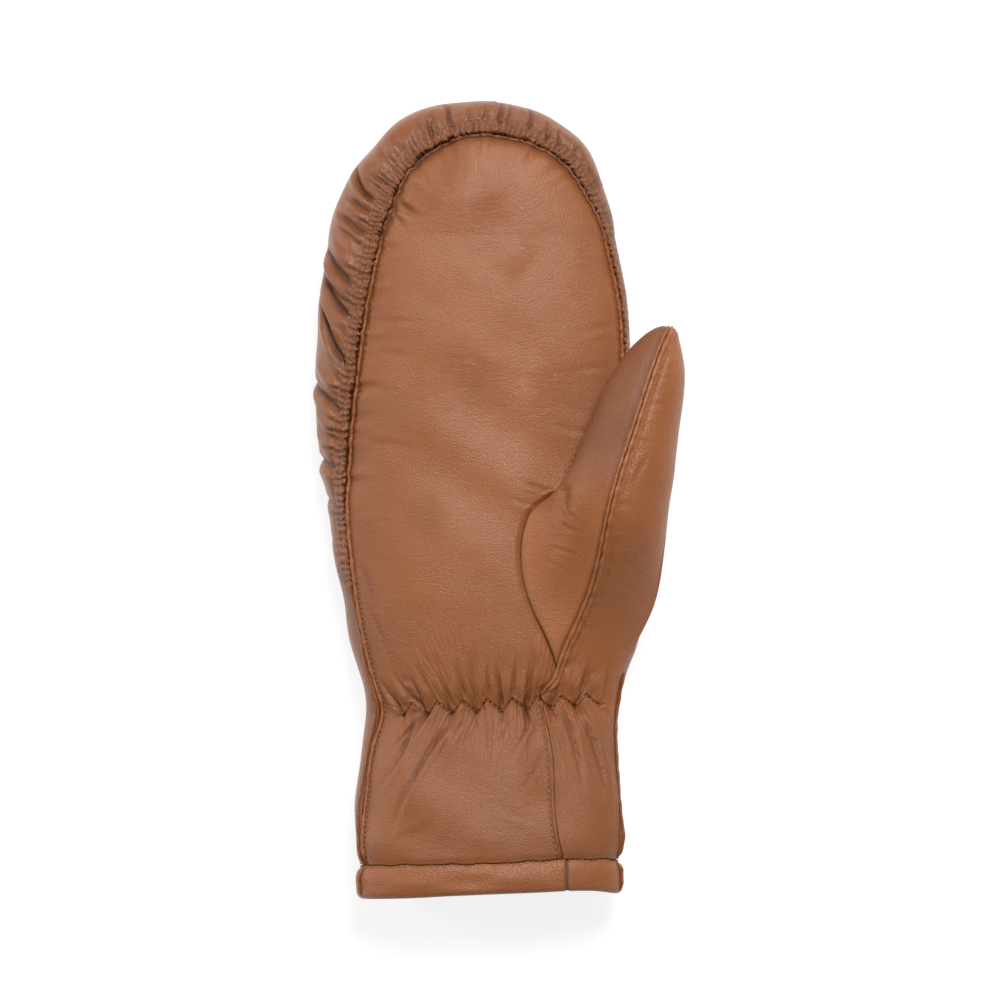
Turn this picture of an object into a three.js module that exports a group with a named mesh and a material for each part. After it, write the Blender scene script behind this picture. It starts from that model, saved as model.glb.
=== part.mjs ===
// A right-hand leather mitten, lying on its back with the palm up and the fingers towards +Y.
// Five leather pieces are sewn into a hollow bag: the palm, the back with its ruched border,
// the two halves of the thumb and the turned hem round the open cuff. Millimetres, +Z up.
import * as THREE from "three";

// Driving sizes
const MITTEN_LENGTH = 265; // hem to fingertips
const TIP_LENGTH = 44.5; // rounded end, from the middle of its fan to the fingertips
const HAND_WIDTH = 103; // across the fingers
const WRIST_WIDTH = 84; // across the elastic line
const CUFF_WIDTH = 89; // across the open cuff
const HAND_DEPTH = 33; // floor to palm, at the ball of the thumb
const WRIST_DEPTH = 30;
const CUFF_DEPTH = 36;
const THUMB_LENGTH = 46.5; // free thumb, past the crotch
const THUMB_WIDTH = 33;
const THUMB_DEPTH = 26;
const THUMB_CLEARANCE = 1.0; // air between the thumb and the palm below it
const THUMB_SWELL = 3.6; // how far the ball of the thumb swells sideways
const THUMB_LEAN = 15.8; // degrees away from the fingers
const HEM_WIDTH = 11.7; // stitch line to the cuff's edge
const HEM_THICKNESS = 3.2; // turned leather, doubled
const HEM_PUFF = 0.9; // how far the turned edge stands out
const LEATHER = 2.0; // wall with its lining
const SEAM_GAP = 0.3; // air between neighbouring pieces
const DRAW_BACK = 0.7; // share of the gap that each piece's edge draws back
const SEAM_DENT = 1.3; // the palm dips where it is sewn to the border
const BORDER_PUFF = 1.3; // the border stands proud of the seam
const RUCHE_DEPTH = 1.3; // height of the border's gathers
const RUCHE_PITCH = 13; // one gather to the next
const WRIST_DENT = 1.4; // how deep the elastic pulls
const GATHER_DEPTH = 1.0; // ruffles either side of the elastic
const GATHER_TURN = 26; // degrees of the section from one ruffle to the next
const ELASTIC_WIDTH = 4.5; // how far its pull spreads
const GATHER_REACH = 14; // how far the ruffles run up the palm
const FLOOR_SOFTNESS = 1.0; // how gently the leather meets the floor
const FLOOR_PRESS = 2.5; // how much the back is flattened where it rests

const SEAM_DENT_WIDTH = 5.2; // how far the dip at the seam spreads over the palm
const NARROW_DENT = 0.35; // share of that dip where the border is narrow
const NARROW_BORDER = 3; // a border this narrow has no gathers
const WIDE_BORDER = 9; // and one this wide has them in full
const CUFF_GATHER_REACH = 8.4; // how far the ruffles run down the cuff

const TOP_ROUNDNESS = 2.2; // exponent of the section above the rim
const BACK_ROUNDNESS = 2.5; // and below it
const PULL_FADE = [1.2, 2.0]; // turn of the section, in radians, where the elastic's pull fades out
const UNDER_FADE = 1.1; // turn past the rim over which the border's gathers fade out

const BODY_LENGTH = MITTEN_LENGTH - TIP_LENGTH;
const HEM_END = -MITTEN_LENGTH / 2;
const HEM_LINE = HEM_WIDTH / BODY_LENGTH;

// Sections across the bag. "at" is a share of the body's length from the hem. "spine" is where the
// section's middle lies. "left" and "right" reach from the spine to the rim. "crown" is the top's
// height and "rim" the height of the widest line.
const SECTIONS = [
  { at: 0.0, spine: -0.036, left: 0.489 * CUFF_WIDTH, right: 0.493 * CUFF_WIDTH, crown: CUFF_DEPTH },
  { at: 0.053, spine: -0.036, left: 0.492 * CUFF_WIDTH, right: 0.495 * CUFF_WIDTH, crown: CUFF_DEPTH },
  { at: 0.094, spine: -0.037, left: 0.498 * CUFF_WIDTH, right: 0.506 * CUFF_WIDTH, crown: CUFF_DEPTH },
  { at: 0.146, spine: -0.039, left: 0.498 * CUFF_WIDTH, right: 0.5 * CUFF_WIDTH, crown: 0.97 * CUFF_DEPTH },
  { at: 0.222, spine: -0.042, left: 0.468 * CUFF_WIDTH, right: 0.487 * CUFF_WIDTH, crown: 0.9 * CUFF_DEPTH },
  { at: 0.276, spine: -0.047, left: 0.479 * WRIST_WIDTH, right: 0.521 * WRIST_WIDTH, crown: WRIST_DEPTH },
  { at: 0.313, spine: -0.055, left: 0.388 * HAND_WIDTH, right: 0.447 * HAND_WIDTH, crown: 1.02 * WRIST_DEPTH },
  { at: 0.346, spine: -0.065, left: 0.395 * HAND_WIDTH, right: 0.482 * HAND_WIDTH, crown: 0.95 * HAND_DEPTH },
  { at: 0.373, spine: -0.071, left: 0.403 * HAND_WIDTH, right: 0.511 * HAND_WIDTH, crown: 0.97 * HAND_DEPTH },
  { at: 0.41, spine: -0.075, left: 0.415 * HAND_WIDTH, right: 0.528 * HAND_WIDTH, crown: 0.985 * HAND_DEPTH },
  { at: 0.46, spine: -0.079, left: 0.43 * HAND_WIDTH, right: 0.531 * HAND_WIDTH, crown: HAND_DEPTH },
  { at: 0.539, spine: -0.085, left: 0.456 * HAND_WIDTH, right: 0.525 * HAND_WIDTH, crown: 0.985 * HAND_DEPTH },
  { at: 0.652, spine: -0.091, left: 0.49 * HAND_WIDTH, right: 0.515 * HAND_WIDTH, crown: 0.94 * HAND_DEPTH },
  { at: 0.781, spine: -0.091, left: 0.508 * HAND_WIDTH, right: 0.515 * HAND_WIDTH, crown: 0.91 * HAND_DEPTH },
  { at: 0.902, spine: -0.091, left: 0.492 * HAND_WIDTH, right: 0.503 * HAND_WIDTH, crown: 0.88 * HAND_DEPTH },
  { at: 1.0, spine: -0.091, left: 0.463 * HAND_WIDTH, right: 0.463 * HAND_WIDTH, crown: 0.82 * HAND_DEPTH },
];
const RIM_HEIGHT = [
  { at: 0.0, share: 0.5 },
  { at: 0.2, share: 0.47 },
  { at: 0.276, share: 0.48 },
  { at: 0.4, share: 0.42 },
  { at: 0.65, share: 0.38 },
  { at: 1.0, share: 0.4 },
];

// The rounded end is a fan of sections about the end of the spine. "turn" is in degrees, from the
// thumb's side over the tip, and "reach" is a share of an ellipse through its sides and tip.
// "seam" is where the palm ends, as a share of that reach.
const TIP_FAN = [
  { turn: 0, reach: 1.0, seam: 0.937 },
  { turn: 20, reach: 0.99, seam: 0.885 },
  { turn: 40, reach: 1.03, seam: 0.84 },
  { turn: 60, reach: 1.03, seam: 0.8 },
  { turn: 90, reach: 1.0, seam: 0.775 },
  { turn: 110, reach: 1.0, seam: 0.73 },
  { turn: 140, reach: 0.96, seam: 0.68 },
  { turn: 160, reach: 0.972, seam: 0.64 },
  { turn: 180, reach: 1.0, seam: 0.655 },
];

// Seams along the body. "out" is the share of the way from the spine to the rim.
const OUTER_SEAM = [
  { at: 0.0, out: 0.966 },
  { at: 0.1, out: 0.957 },
  { at: 0.2, out: 0.94 },
  { at: 0.237, out: 0.927 },
  { at: 0.282, out: 0.884 },
  { at: 0.328, out: 0.909 },
  { at: 0.45, out: 0.917 },
  { at: 0.554, out: 0.894 },
  { at: 0.66, out: 0.837 },
  { at: 0.781, out: 0.758 },
  { at: 0.9, out: 0.71 },
  { at: 1.0, out: 0.655 },
];
const THUMB_SIDE_SEAM = [
  { at: 0.0, out: 0.985 },
  { at: 0.1, out: 0.975 },
  { at: 0.29, out: 0.985 },
  { at: 0.346, out: 0.97 },
  { at: 0.636, out: 0.97 },
  { at: 0.87, out: 0.955 },
  { at: 1.0, out: 0.937 },
];
const CUFF_FRONT_SEAM = [
  { at: 0.0, out: 0.6 },
  { at: 0.053, out: 0.568 },
  { at: 0.094, out: 0.515 },
  { at: 0.146, out: 0.502 },
  { at: 0.207, out: 0.506 },
  { at: 0.252, out: 0.481 },
  { at: 0.293, out: 0.438 },
  { at: 0.31, out: 0.451 },
  { at: 0.328, out: 0.514 },
  { at: 0.346, out: 0.517 },
];

// The thumb's inner panel is set into the palm along this seam, from the heel of the hand round to
// the crotch, and then on under the thumb to the hand's thumb side.
const GUSSET_SEAM = [
  { at: 0.346, out: 0.517 },
  { at: 0.388, out: 0.436 },
  { at: 0.4365, out: 0.343 },
  { at: 0.48, out: 0.295 },
  { at: 0.524, out: 0.289 },
  { at: 0.554, out: 0.311 },
  { at: 0.5815, out: 0.356 },
  { at: 0.5996, out: 0.433 },
  { at: 0.6117, out: 0.508 },
  { at: 0.6177, out: 0.589 },
];
const CROTCH_SEAM = [
  { at: 0.6177, out: 0.589 },
  { at: 0.6215, out: 0.72 },
  { at: 0.628, out: 0.85 },
  { at: 0.636, out: 0.97 },
];
const HEEL_AT = GUSSET_SEAM[0].at;
const CROTCH_AT = CROTCH_SEAM[3].at;

// Rings of the free thumb. "up" is a share of its length. "wide" and "deep" are shares of its half
// width and half depth, and "aside" shifts the ring across, as a share of the width.
const THUMB_RINGS = [
  { up: 0.0, wide: 1.0, deep: 1.0, aside: 0.0 },
  { up: 0.112, wide: 0.945, deep: 0.965, aside: 0.0 },
  { up: 0.3, wide: 0.89, deep: 0.92, aside: 0.0 },
  { up: 0.448, wide: 0.828, deep: 0.87, aside: 0.0 },
  { up: 0.597, wide: 0.73, deep: 0.78, aside: 0.002 },
  { up: 0.746, wide: 0.597, deep: 0.64, aside: 0.008 },
  { up: 0.858, wide: 0.42, deep: 0.46, aside: 0.025 },
  { up: 0.933, wide: 0.275, deep: 0.31, aside: 0.04 },
  { up: 0.98, wide: 0.15, deep: 0.17, aside: 0.06 },
  { up: 1.0, wide: 0.0, deep: 0.0, aside: 0.07 },
];
const ELASTIC_AT = 0.274; // the elastic line, along the body
const THUMB_BASE_AT = 0.66; // the thumb's base ring, along the body
const THUMB_BASE_IN = 0.06; // share of the thumb's width that it stands inside the rim
const PALM_UNDER_THUMB = 0.7; // share of the hand's depth that lies under the thumb
const THUMB_HEIGHT = PALM_UNDER_THUMB * HAND_DEPTH + THUMB_CLEARANCE + THUMB_DEPTH / 2;
const THUMB_DROOP = 0.05; // share of the thumb's depth that its tip sinks
const THUMB_END_WALL = 1.3; // the leather is this much thicker at the thumb's tip
const THUMB_END_SHARPNESS = 12; // how late the lining closes towards the tip
const GATHERS_FROM = 0.5; // the border's gathers start here, along the body
const BULB_AT = 0.56; // the middle of the thumb's full base, along the body
const FRONT_SWELL = 0.5; // share of the thumb's swelling that its front seam takes
const BULB_FULLNESS = 1.3; // how roundly the leather runs from the hand onto the thumb
const BULB_OUT = 0.85; // the middle of the ball's hollow, from the spine to the rim
const BULB_UP = 0.8; // and its height, as a share of the hand's depth
const FRONT_LEAST = 0.35; // how surely the leather leaves to its own side of the front seam
const UNDER_LEAST = 0.1; // and of the seam under the thumb
const FLUSH_FADE = 3; // how soon the outer leather stops following the hand's side
const CROTCH_FROM = 0.8; // the inner panel starts to turn up at this share of its seam
const CROTCH_TURN_UP = 0.5; // and this much of it leaves the palm's surface
const FRONT_SEAM_TURN = [100, 88]; // degrees round the thumb's ring, at its base and tip
const REAR_SEAM_TURN = 270;
const LEFT_TURN = 180;

// How finely each piece is divided
const ROWS_CUFF = 13;
const ROWS_FINGERS = 22;
const GUSSET_STEPS = 10;
const CROTCH_STEPS = 4;
const FAN_STEPS = 36;
const PALM_STEPS = 7;
const BORDER_STEPS = 4;
const BACK_STEPS = 4;
const STRIP_STEPS = 5;
const BULB_STEPS = 6;
const THUMB_STEPS = 9;
const TIP_CROWDING = 1.5; // rings lie closer towards the thumb's tip
const HEM_ROUND_STEPS = 18;
const SMALL_STEP = 0.002; // for slopes, as a share of the body's length
const SAME_PLACE = 1e-9;
const STRAIGHT = 0.7; // an edge that turns less than this cosine runs on smoothly

// A smooth curve through a table's column, by its first column.
function along(rows, column, t) {
  const key = Object.keys(rows[0])[0];
  const last = rows.length - 1;
  let i = 0;
  while (i < last - 1 && t > rows[i + 1][key]) i += 1;
  const slope = (k) => {
    const a = rows[Math.max(k - 1, 0)];
    const b = rows[Math.min(k + 1, last)];
    return (b[column] - a[column]) / (b[key] - a[key]);
  };
  const [p, q] = [rows[i], rows[i + 1]];
  const step = q[key] - p[key];
  const u = THREE.MathUtils.clamp((t - p[key]) / step, 0, 1);
  const [u2, u3] = [u * u, u * u * u];
  return (
    (2 * u3 - 3 * u2 + 1) * p[column] +
    (u3 - 2 * u2 + u) * step * slope(i) +
    (3 * u2 - 2 * u3) * q[column] +
    (u3 - u2) * step * slope(i + 1)
  );
}
const bump = (x, width) => Math.exp(-((x / width) ** 2));
const radians = THREE.MathUtils.degToRad;

// A station is one section from the spine out to the rim: on the outer side of the hand (side -1),
// on the thumb's side (side 1), or a ray of the fan at the fingertips.
function rowStation(at, side) {
  const crown = along(SECTIONS, "crown", at);
  return {
    at,
    side,
    x: along(SECTIONS, "spine", at) * HAND_WIDTH,
    y: HEM_END + at * BODY_LENGTH,
    dx: side,
    dy: 0,
    reach: along(SECTIONS, side < 0 ? "left" : "right", at),
    crown,
    rim: crown * along(RIM_HEIGHT, "share", at),
    seam: along(side < 0 ? OUTER_SEAM : THUMB_SIDE_SEAM, "out", at),
    fan: 0,
  };
}
function fanStation(turn) {
  const end = rowStation(1, 1);
  const reach = along(TIP_FAN, "reach", turn);
  const px = Math.cos(radians(turn)) * reach * end.reach;
  const py = Math.sin(radians(turn)) * reach * TIP_LENGTH;
  const length = Math.hypot(px, py);
  return {
    ...end,
    side: turn > 90 ? -1 : 1,
    dx: px / length,
    dy: py / length,
    reach: length,
    seam: along(TIP_FAN, "seam", turn),
    fan: turn,
  };
}

// Distance along the border from where its gathers start, used to space them.
function borderLength(station) {
  const side = (1 - GATHERS_FROM) * BODY_LENGTH;
  if (station.fan === 0 && station.side < 0) return (station.at - GATHERS_FROM) * BODY_LENGTH;
  return side + radians(180 - station.fan) * TIP_LENGTH;
}

// The leather's relief is how far its outer face stands out of the plain section. The elastic pulls
// the palm's side in and gathers it.
function elasticRelief(station, round) {
  if (station.fan > 0) return 0;
  const side = 1 - THREE.MathUtils.smoothstep(round, ...PULL_FADE);
  const away = (station.at - ELASTIC_AT) * BODY_LENGTH;
  const gather = Math.cos((2 * Math.PI * round) / radians(GATHER_TURN));
  const ruffle = GATHER_DEPTH * gather * bump(away, away > 0 ? GATHER_REACH : CUFF_GATHER_REACH);
  return side * (ruffle - WRIST_DENT * bump(away, ELASTIC_WIDTH));
}

// The palm dips towards the border, and the border stands up in gathers.
const borderWidth = (station) => (1 - station.seam) * station.reach;
const fullness = (station) => THREE.MathUtils.smoothstep(borderWidth(station), NARROW_BORDER, WIDE_BORDER);
function palmRelief(station, round) {
  const share = Math.sin(round) ** (2 / TOP_ROUNDNESS);
  const toSeam = (station.seam - share) * station.reach;
  const dent = SEAM_DENT * THREE.MathUtils.lerp(NARROW_DENT, 1, fullness(station));
  return elasticRelief(station, round) - dent * bump(toSeam, SEAM_DENT_WIDTH);
}
function borderRelief(station, round) {
  const share = round < Math.PI / 2 ? Math.sin(round) ** (2 / TOP_ROUNDNESS) : 1;
  const across = THREE.MathUtils.clamp((share - station.seam) / (1 - station.seam), 0, 1);
  const under = 1 - THREE.MathUtils.smoothstep(round, Math.PI / 2, Math.PI / 2 + UNDER_FADE);
  const gathered = THREE.MathUtils.smoothstep(borderLength(station), 0, 2 * RUCHE_PITCH);
  const ruche = Math.cos((2 * Math.PI * borderLength(station)) / RUCHE_PITCH);
  const puff = BORDER_PUFF * Math.sin(Math.PI * across);
  const standing = fullness(station) * under * (puff + RUCHE_DEPTH * gathered * ruche);
  return elasticRelief(station, round) + standing;
}

// Leather that would go through the floor lies flat on it.
function settle(z) {
  if (z > FLOOR_SOFTNESS) return z;
  if (z < -FLOOR_SOFTNESS) return 0;
  return (z + FLOOR_SOFTNESS) ** 2 / (4 * FLOOR_SOFTNESS);
}

// A point of the bag. "round" runs from 0 at the palm's spine over the rim to pi at the back's.
function bagPoint(station, round, inset) {
  const top = round < Math.PI / 2;
  const power = 2 / (top ? TOP_ROUNDNESS : BACK_ROUNDNESS);
  const flat = (station.reach - inset) * Math.max(Math.sin(round), 0) ** power;
  const up = Math.abs(Math.cos(round)) ** power;
  const place = new THREE.Vector3(station.x + station.dx * flat, station.y + station.dy * flat, 0);
  if (top) return place.setZ(station.rim + (station.crown - inset - station.rim) * up);
  const floor = Math.max(inset, 0);
  return place.setZ(floor + settle(station.rim - floor - (station.rim + FLOOR_PRESS - inset) * up));
}
const outerPoint = (station, round, relief) => bagPoint(station, round, -relief(station, round));
const innerPoint = (station, round) => bagPoint(station, round, LEATHER);
const roundOf = (share) => Math.asin(Math.min(share, 1) ** (TOP_ROUNDNESS / 2));

// Makes one closed piece of leather from grids of outer points and the inner points under them.
// Edges that meet are sewn together, and free edges draw back by half the gap and get a rim.
function leatherPiece(name, material, patches) {
  const outer = [];
  const inner = [];
  const known = new Map();
  const vertex = (pair) => {
    const key = pair[0].toArray().map((v) => Math.round(v * 1000)).join();
    if (!known.has(key)) {
      known.set(key, outer.length);
      outer.push(pair[0].clone());
      inner.push(pair[1].clone());
    }
    return known.get(key);
  };
  const faces = [];
  const addFace = (a, b, c) => {
    if (a !== b && b !== c && c !== a) faces.push([a, b, c]);
  };
  for (const grid of patches) {
    const ids = grid.map((row) => row.map(vertex));
    for (let i = 0; i + 1 < ids.length; i += 1) {
      for (let j = 0; j + 1 < ids[i].length; j += 1) {
        addFace(ids[i][j], ids[i + 1][j], ids[i + 1][j + 1]);
        addFace(ids[i][j], ids[i + 1][j + 1], ids[i][j + 1]);
      }
    }
  }
  const edges = new Set(faces.flatMap(([a, b, c]) => [a + "," + b, b + "," + c, c + "," + a]));
  const ends = [...edges].map((edge) => edge.split(",").map(Number));
  const free = ends.filter(([a, b]) => !edges.has(b + "," + a));
  const next = new Map(free);
  const before = new Map(free.map(([a, b]) => [b, a]));
  const pull = new Map([...next.keys()].map((v) => [v, new THREE.Vector3()]));
  for (const face of faces) {
    const middle = new THREE.Vector3();
    face.forEach((v) => middle.addScaledVector(outer[v], 1 / 3));
    face.filter((v) => next.has(v)).forEach((v) => pull.get(v).add(middle).sub(outer[v]));
  }
  for (const [v, way] of pull) {
    const ahead = outer[next.get(v)].clone().sub(outer[v]).normalize();
    const behind = outer[v].clone().sub(outer[before.get(v)]).normalize();
    if (ahead.dot(behind) > STRAIGHT) way.projectOnPlane(ahead.add(behind).normalize());
    way.setLength(DRAW_BACK * SEAM_GAP);
  }
  for (const [v, way] of pull) {
    outer[v].add(way);
    inner[v].add(way);
  }
  const count = outer.length;
  const index = [];
  faces.forEach(([a, b, c]) => index.push(a, b, c, c + count, b + count, a + count));
  free.forEach(([a, b]) => index.push(b, a, a + count, b, a + count, b + count));
  const geometry = new THREE.BufferGeometry();
  geometry.setAttribute(
    "position",
    new THREE.Float32BufferAttribute([...outer, ...inner].flatMap((p) => p.toArray()), 3),
  );
  geometry.setIndex(index);
  geometry.computeVertexNormals();
  const mesh = new THREE.Mesh(geometry, material);
  mesh.name = name;
  return mesh;
}

const steps = (from, to, count) => {
  return Array.from({ length: count + 1 }, (_, i) => from + ((to - from) * i) / count);
};
function pairAt(station, round, relief) {
  return [outerPoint(station, round, relief), innerPoint(station, round)];
}

// A seam's points, evenly spaced along the seam.
function seamPoints(rows, count) {
  const half = HAND_WIDTH / 2;
  const places = rows.map((row) => new THREE.Vector3(row.at * BODY_LENGTH, row.out * half, 0));
  const curve = new THREE.CatmullRomCurve3(places, false, "centripetal");
  return curve.getSpacedPoints(count).map((p) => ({ at: p.x / BODY_LENGTH, out: p.y / half }));
}
const gusset = seamPoints(GUSSET_SEAM, GUSSET_STEPS);
const crotch = seamPoints(CROTCH_SEAM, CROTCH_STEPS);
const setIn = [...gusset, ...crotch.slice(1)];

const rowsAt = [
  ...steps(HEM_LINE, HEEL_AT, ROWS_CUFF),
  ...setIn.slice(1).map((p) => p.at),
  ...steps(CROTCH_AT, 1, ROWS_FINGERS).slice(1),
];
const outerRows = rowsAt.map((at) => rowStation(at, -1));
const thumbRows = rowsAt.map((at) => rowStation(at, 1));
const fan = steps(180, 0, FAN_STEPS).slice(1, -1).map(fanStation);
const stations = [...outerRows, ...fan, ...thumbRows.slice().reverse()];

// Where the palm ends at a station: at the cuff's front seam, at the thumb's seam or at the border.
function palmEdge(station) {
  if (station.side < 0 || station.fan > 0 || station.at > CROTCH_AT + SAME_PLACE) return station.seam;
  if (station.at <= HEEL_AT + SAME_PLACE) return along(CUFF_FRONT_SEAM, "out", station.at);
  return setIn.find((p) => Math.abs(p.at - station.at) < SAME_PLACE).out;
}

const caramel = { metalness: 0, side: THREE.FrontSide };
const palmLeather = new THREE.MeshStandardMaterial({ color: 0xa56e4e, roughness: 0.5, ...caramel });
const backLeather = new THREE.MeshStandardMaterial({ color: 0x98684e, roughness: 0.55, ...caramel });
const thumbInnerLeather = new THREE.MeshStandardMaterial({ color: 0x9b6647, roughness: 0.52, ...caramel });
const thumbOuterLeather = new THREE.MeshStandardMaterial({ color: 0x9d6341, roughness: 0.5, ...caramel });
const hemLeather = new THREE.MeshStandardMaterial({ color: 0xa26c4e, roughness: 0.5, ...caramel });

function makePalm() {
  const grid = stations.map((station) => {
    const end = roundOf(palmEdge(station));
    return steps(0, end, PALM_STEPS).map((round) => pairAt(station, round, palmRelief));
  });
  return leatherPiece("palm_panel", palmLeather, [grid]);
}

function makeBack() {
  const grid = stations.map((station) => {
    const start = roundOf(station.seam);
    const rounds = [
      ...steps(start, Math.PI / 2, BORDER_STEPS),
      ...steps(Math.PI / 2, Math.PI, BACK_STEPS).slice(1),
    ];
    return rounds.map((round) => pairAt(station, round, borderRelief));
  });
  return leatherPiece("back_panel", backLeather, [grid]);
}

// A point of the free thumb: "up" is 0 at its base and 1 at its tip, "turn" is in degrees round it.
function thumbPoint(up, turn, inset) {
  const base = rowStation(THUMB_BASE_AT, 1);
  const lean = radians(THUMB_LEAN);
  const length = up * (THUMB_LENGTH - THUMB_END_WALL * inset);
  const wall = inset * (1 - up ** THUMB_END_SHARPNESS);
  const wide = Math.max((along(THUMB_RINGS, "wide", up) * THUMB_WIDTH) / 2 - wall, 0);
  const deep = Math.max((along(THUMB_RINGS, "deep", up) * THUMB_DEPTH) / 2 - wall, 0);
  const aside = along(THUMB_RINGS, "aside", up) * THUMB_WIDTH;
  const across = aside + wide * Math.cos(radians(turn));
  const baseX = base.x + base.reach - THUMB_BASE_IN * THUMB_WIDTH;
  return new THREE.Vector3(
    baseX + Math.sin(lean) * length + Math.cos(lean) * across,
    base.y + Math.cos(lean) * length - Math.sin(lean) * across,
    THUMB_HEIGHT - THUMB_DROOP * THUMB_DEPTH * up * up + deep * Math.sin(radians(turn)),
  );
}

// The hand's surface at a place: its point, the lining's point under it and the way out of it.
function handPlace(station, round) {
  const point = outerPoint(station, round, elasticRelief);
  const further = rowStation(station.at + SMALL_STEP, station.side);
  const on = outerPoint(further, round, elasticRelief).sub(point);
  const around = outerPoint(station, round + SMALL_STEP, elasticRelief).sub(point);
  return { point, lining: innerPoint(station, round), out: around.cross(on).normalize() };
}

// One line of the thumb's leather: it leaves its seam on the hand, runs onto the thumb's base ring
// and on to the tip. "swell" carries it outwards halfway, and "turnAt" gives its place round the
// thumb.
function thumbLine(start, leave, swell, turnAt, inset) {
  const ring = thumbPoint(0, turnAt(0), inset);
  const reach = ring.distanceTo(start) * BULB_FULLNESS;
  const arrive = thumbPoint(SMALL_STEP, turnAt(SMALL_STEP), inset).sub(ring).setLength(reach);
  const line = steps(0, 1, BULB_STEPS).map((u) => {
    const [u2, u3] = [u * u, u * u * u];
    return start
      .clone()
      .multiplyScalar(2 * u3 - 3 * u2 + 1)
      .addScaledVector(leave, (u3 - 2 * u2 + u) * reach)
      .addScaledVector(ring, 3 * u2 - 2 * u3)
      .addScaledVector(arrive, u3 - u2)
      .add(new THREE.Vector3(swell * (4 * u * (1 - u)) ** 2, 0, 0));
  });
  const free = steps(0, 1, THUMB_STEPS).slice(1).map((t) => {
    const up = 1 - (1 - t) ** TIP_CROWDING;
    return thumbPoint(up, turnAt(up), inset);
  });
  return [...line, ...free];
}

// The lines of one half of the thumb. Each place is on the hand, with "flush" 1 where the leather
// leaves along the hand's surface and 0 where it turns away, and "least" the smallest share of its
// way that leads to its own side of the seam.
function thumbHalf(places, turning) {
  const middle = rowStation(BULB_AT, 1);
  const inside = new THREE.Vector3(middle.x + BULB_OUT * middle.reach, middle.y, BULB_UP * HAND_DEPTH);
  const hands = places.map((p) => handPlace(p.station, p.round));
  return places.map((p, i) => {
    const hand = hands[i];
    const before = hands[Math.max(i - 1, 0)].point;
    const after = hands[Math.min(i + 1, hands.length - 1)].point;
    const own = after.clone().sub(before).cross(hand.out).multiplyScalar(turning).normalize();
    const leave = thumbPoint(0, p.turnAt(0), 0).sub(hand.point).normalize();
    leave.addScaledVector(hand.out, -leave.dot(hand.out) * p.flush).normalize();
    if (p.least > 0) leave.addScaledVector(own, Math.max(p.least - leave.dot(own), 0)).normalize();
    const into = inside.clone().sub(hand.point).setLength(LEATHER).add(hand.point);
    const lining = into.lerp(hand.lining, p.flush);
    const outer = thumbLine(hand.point, leave, p.swell, p.turnAt, 0);
    const inner = thumbLine(lining, leave, p.swell, p.turnAt, LEATHER);
    return outer.map((point, k) => [point, inner[k]]);
  });
}
const frontTurn = (up) => THREE.MathUtils.lerp(FRONT_SEAM_TURN[0], FRONT_SEAM_TURN[1], up);

function makeThumbInner() {
  const inFront = gusset.map((p, i) => {
    const share = i / GUSSET_STEPS;
    return {
      station: rowStation(p.at, 1),
      round: roundOf(p.out),
      flush: 1 - CROTCH_TURN_UP * THREE.MathUtils.smoothstep(share, CROTCH_FROM, 1),
      least: i > 0 ? FRONT_LEAST : 0,
      swell: THUMB_SWELL * FRONT_SWELL * (1 - share),
      turnAt: (up) => THREE.MathUtils.lerp(frontTurn(up), LEFT_TURN, share),
    };
  });
  const under = crotch.slice(1).map((p, i) => {
    const share = (i + 1) / CROTCH_STEPS;
    return {
      station: rowStation(p.at, 1),
      round: roundOf(p.out),
      flush: 0,
      least: share < 1 ? UNDER_LEAST : 0,
      swell: 0,
      turnAt: () => THREE.MathUtils.lerp(LEFT_TURN, REAR_SEAM_TURN, share),
    };
  });
  const half = thumbHalf([...inFront, ...under], 1);
  return leatherPiece("thumb_inner_panel", thumbInnerLeather, [half.reverse()]);
}

function makeThumbOuter() {
  const heel = rowStation(HEEL_AT, 1);
  const front = steps(roundOf(palmEdge(heel)), roundOf(heel.seam), STRIP_STEPS).map((round, i) => {
    const turnAt = (up) => frontTurn(up) * (1 - i / STRIP_STEPS);
    const swell = THUMB_SWELL * THREE.MathUtils.lerp(FRONT_SWELL, 1, i / STRIP_STEPS);
    return { station: heel, round, flush: 1, least: 0, swell, turnAt };
  });
  const side = setIn.slice(1).map((p, i) => {
    const station = rowStation(p.at, 1);
    const share = (i + 1) / (setIn.length - 1);
    return {
      station,
      round: roundOf(station.seam),
      flush: Math.max(1 - FLUSH_FADE * share, 0),
      least: share < 1 ? UNDER_LEAST : 0,
      swell: THUMB_SWELL * (1 - share),
      turnAt: () => (REAR_SEAM_TURN - 360) * share,
    };
  });
  const strip = thumbRows
    .filter((station) => station.at <= HEEL_AT + SAME_PLACE)
    .map((station) => {
      const rounds = steps(roundOf(palmEdge(station)), roundOf(station.seam), STRIP_STEPS);
      return rounds.map((round) => pairAt(station, round, elasticRelief));
    });
  const patches = [thumbHalf([...front, ...side], -1), strip.reverse()];
  return leatherPiece("thumb_outer_panel", thumbOuterLeather, patches);
}

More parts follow.
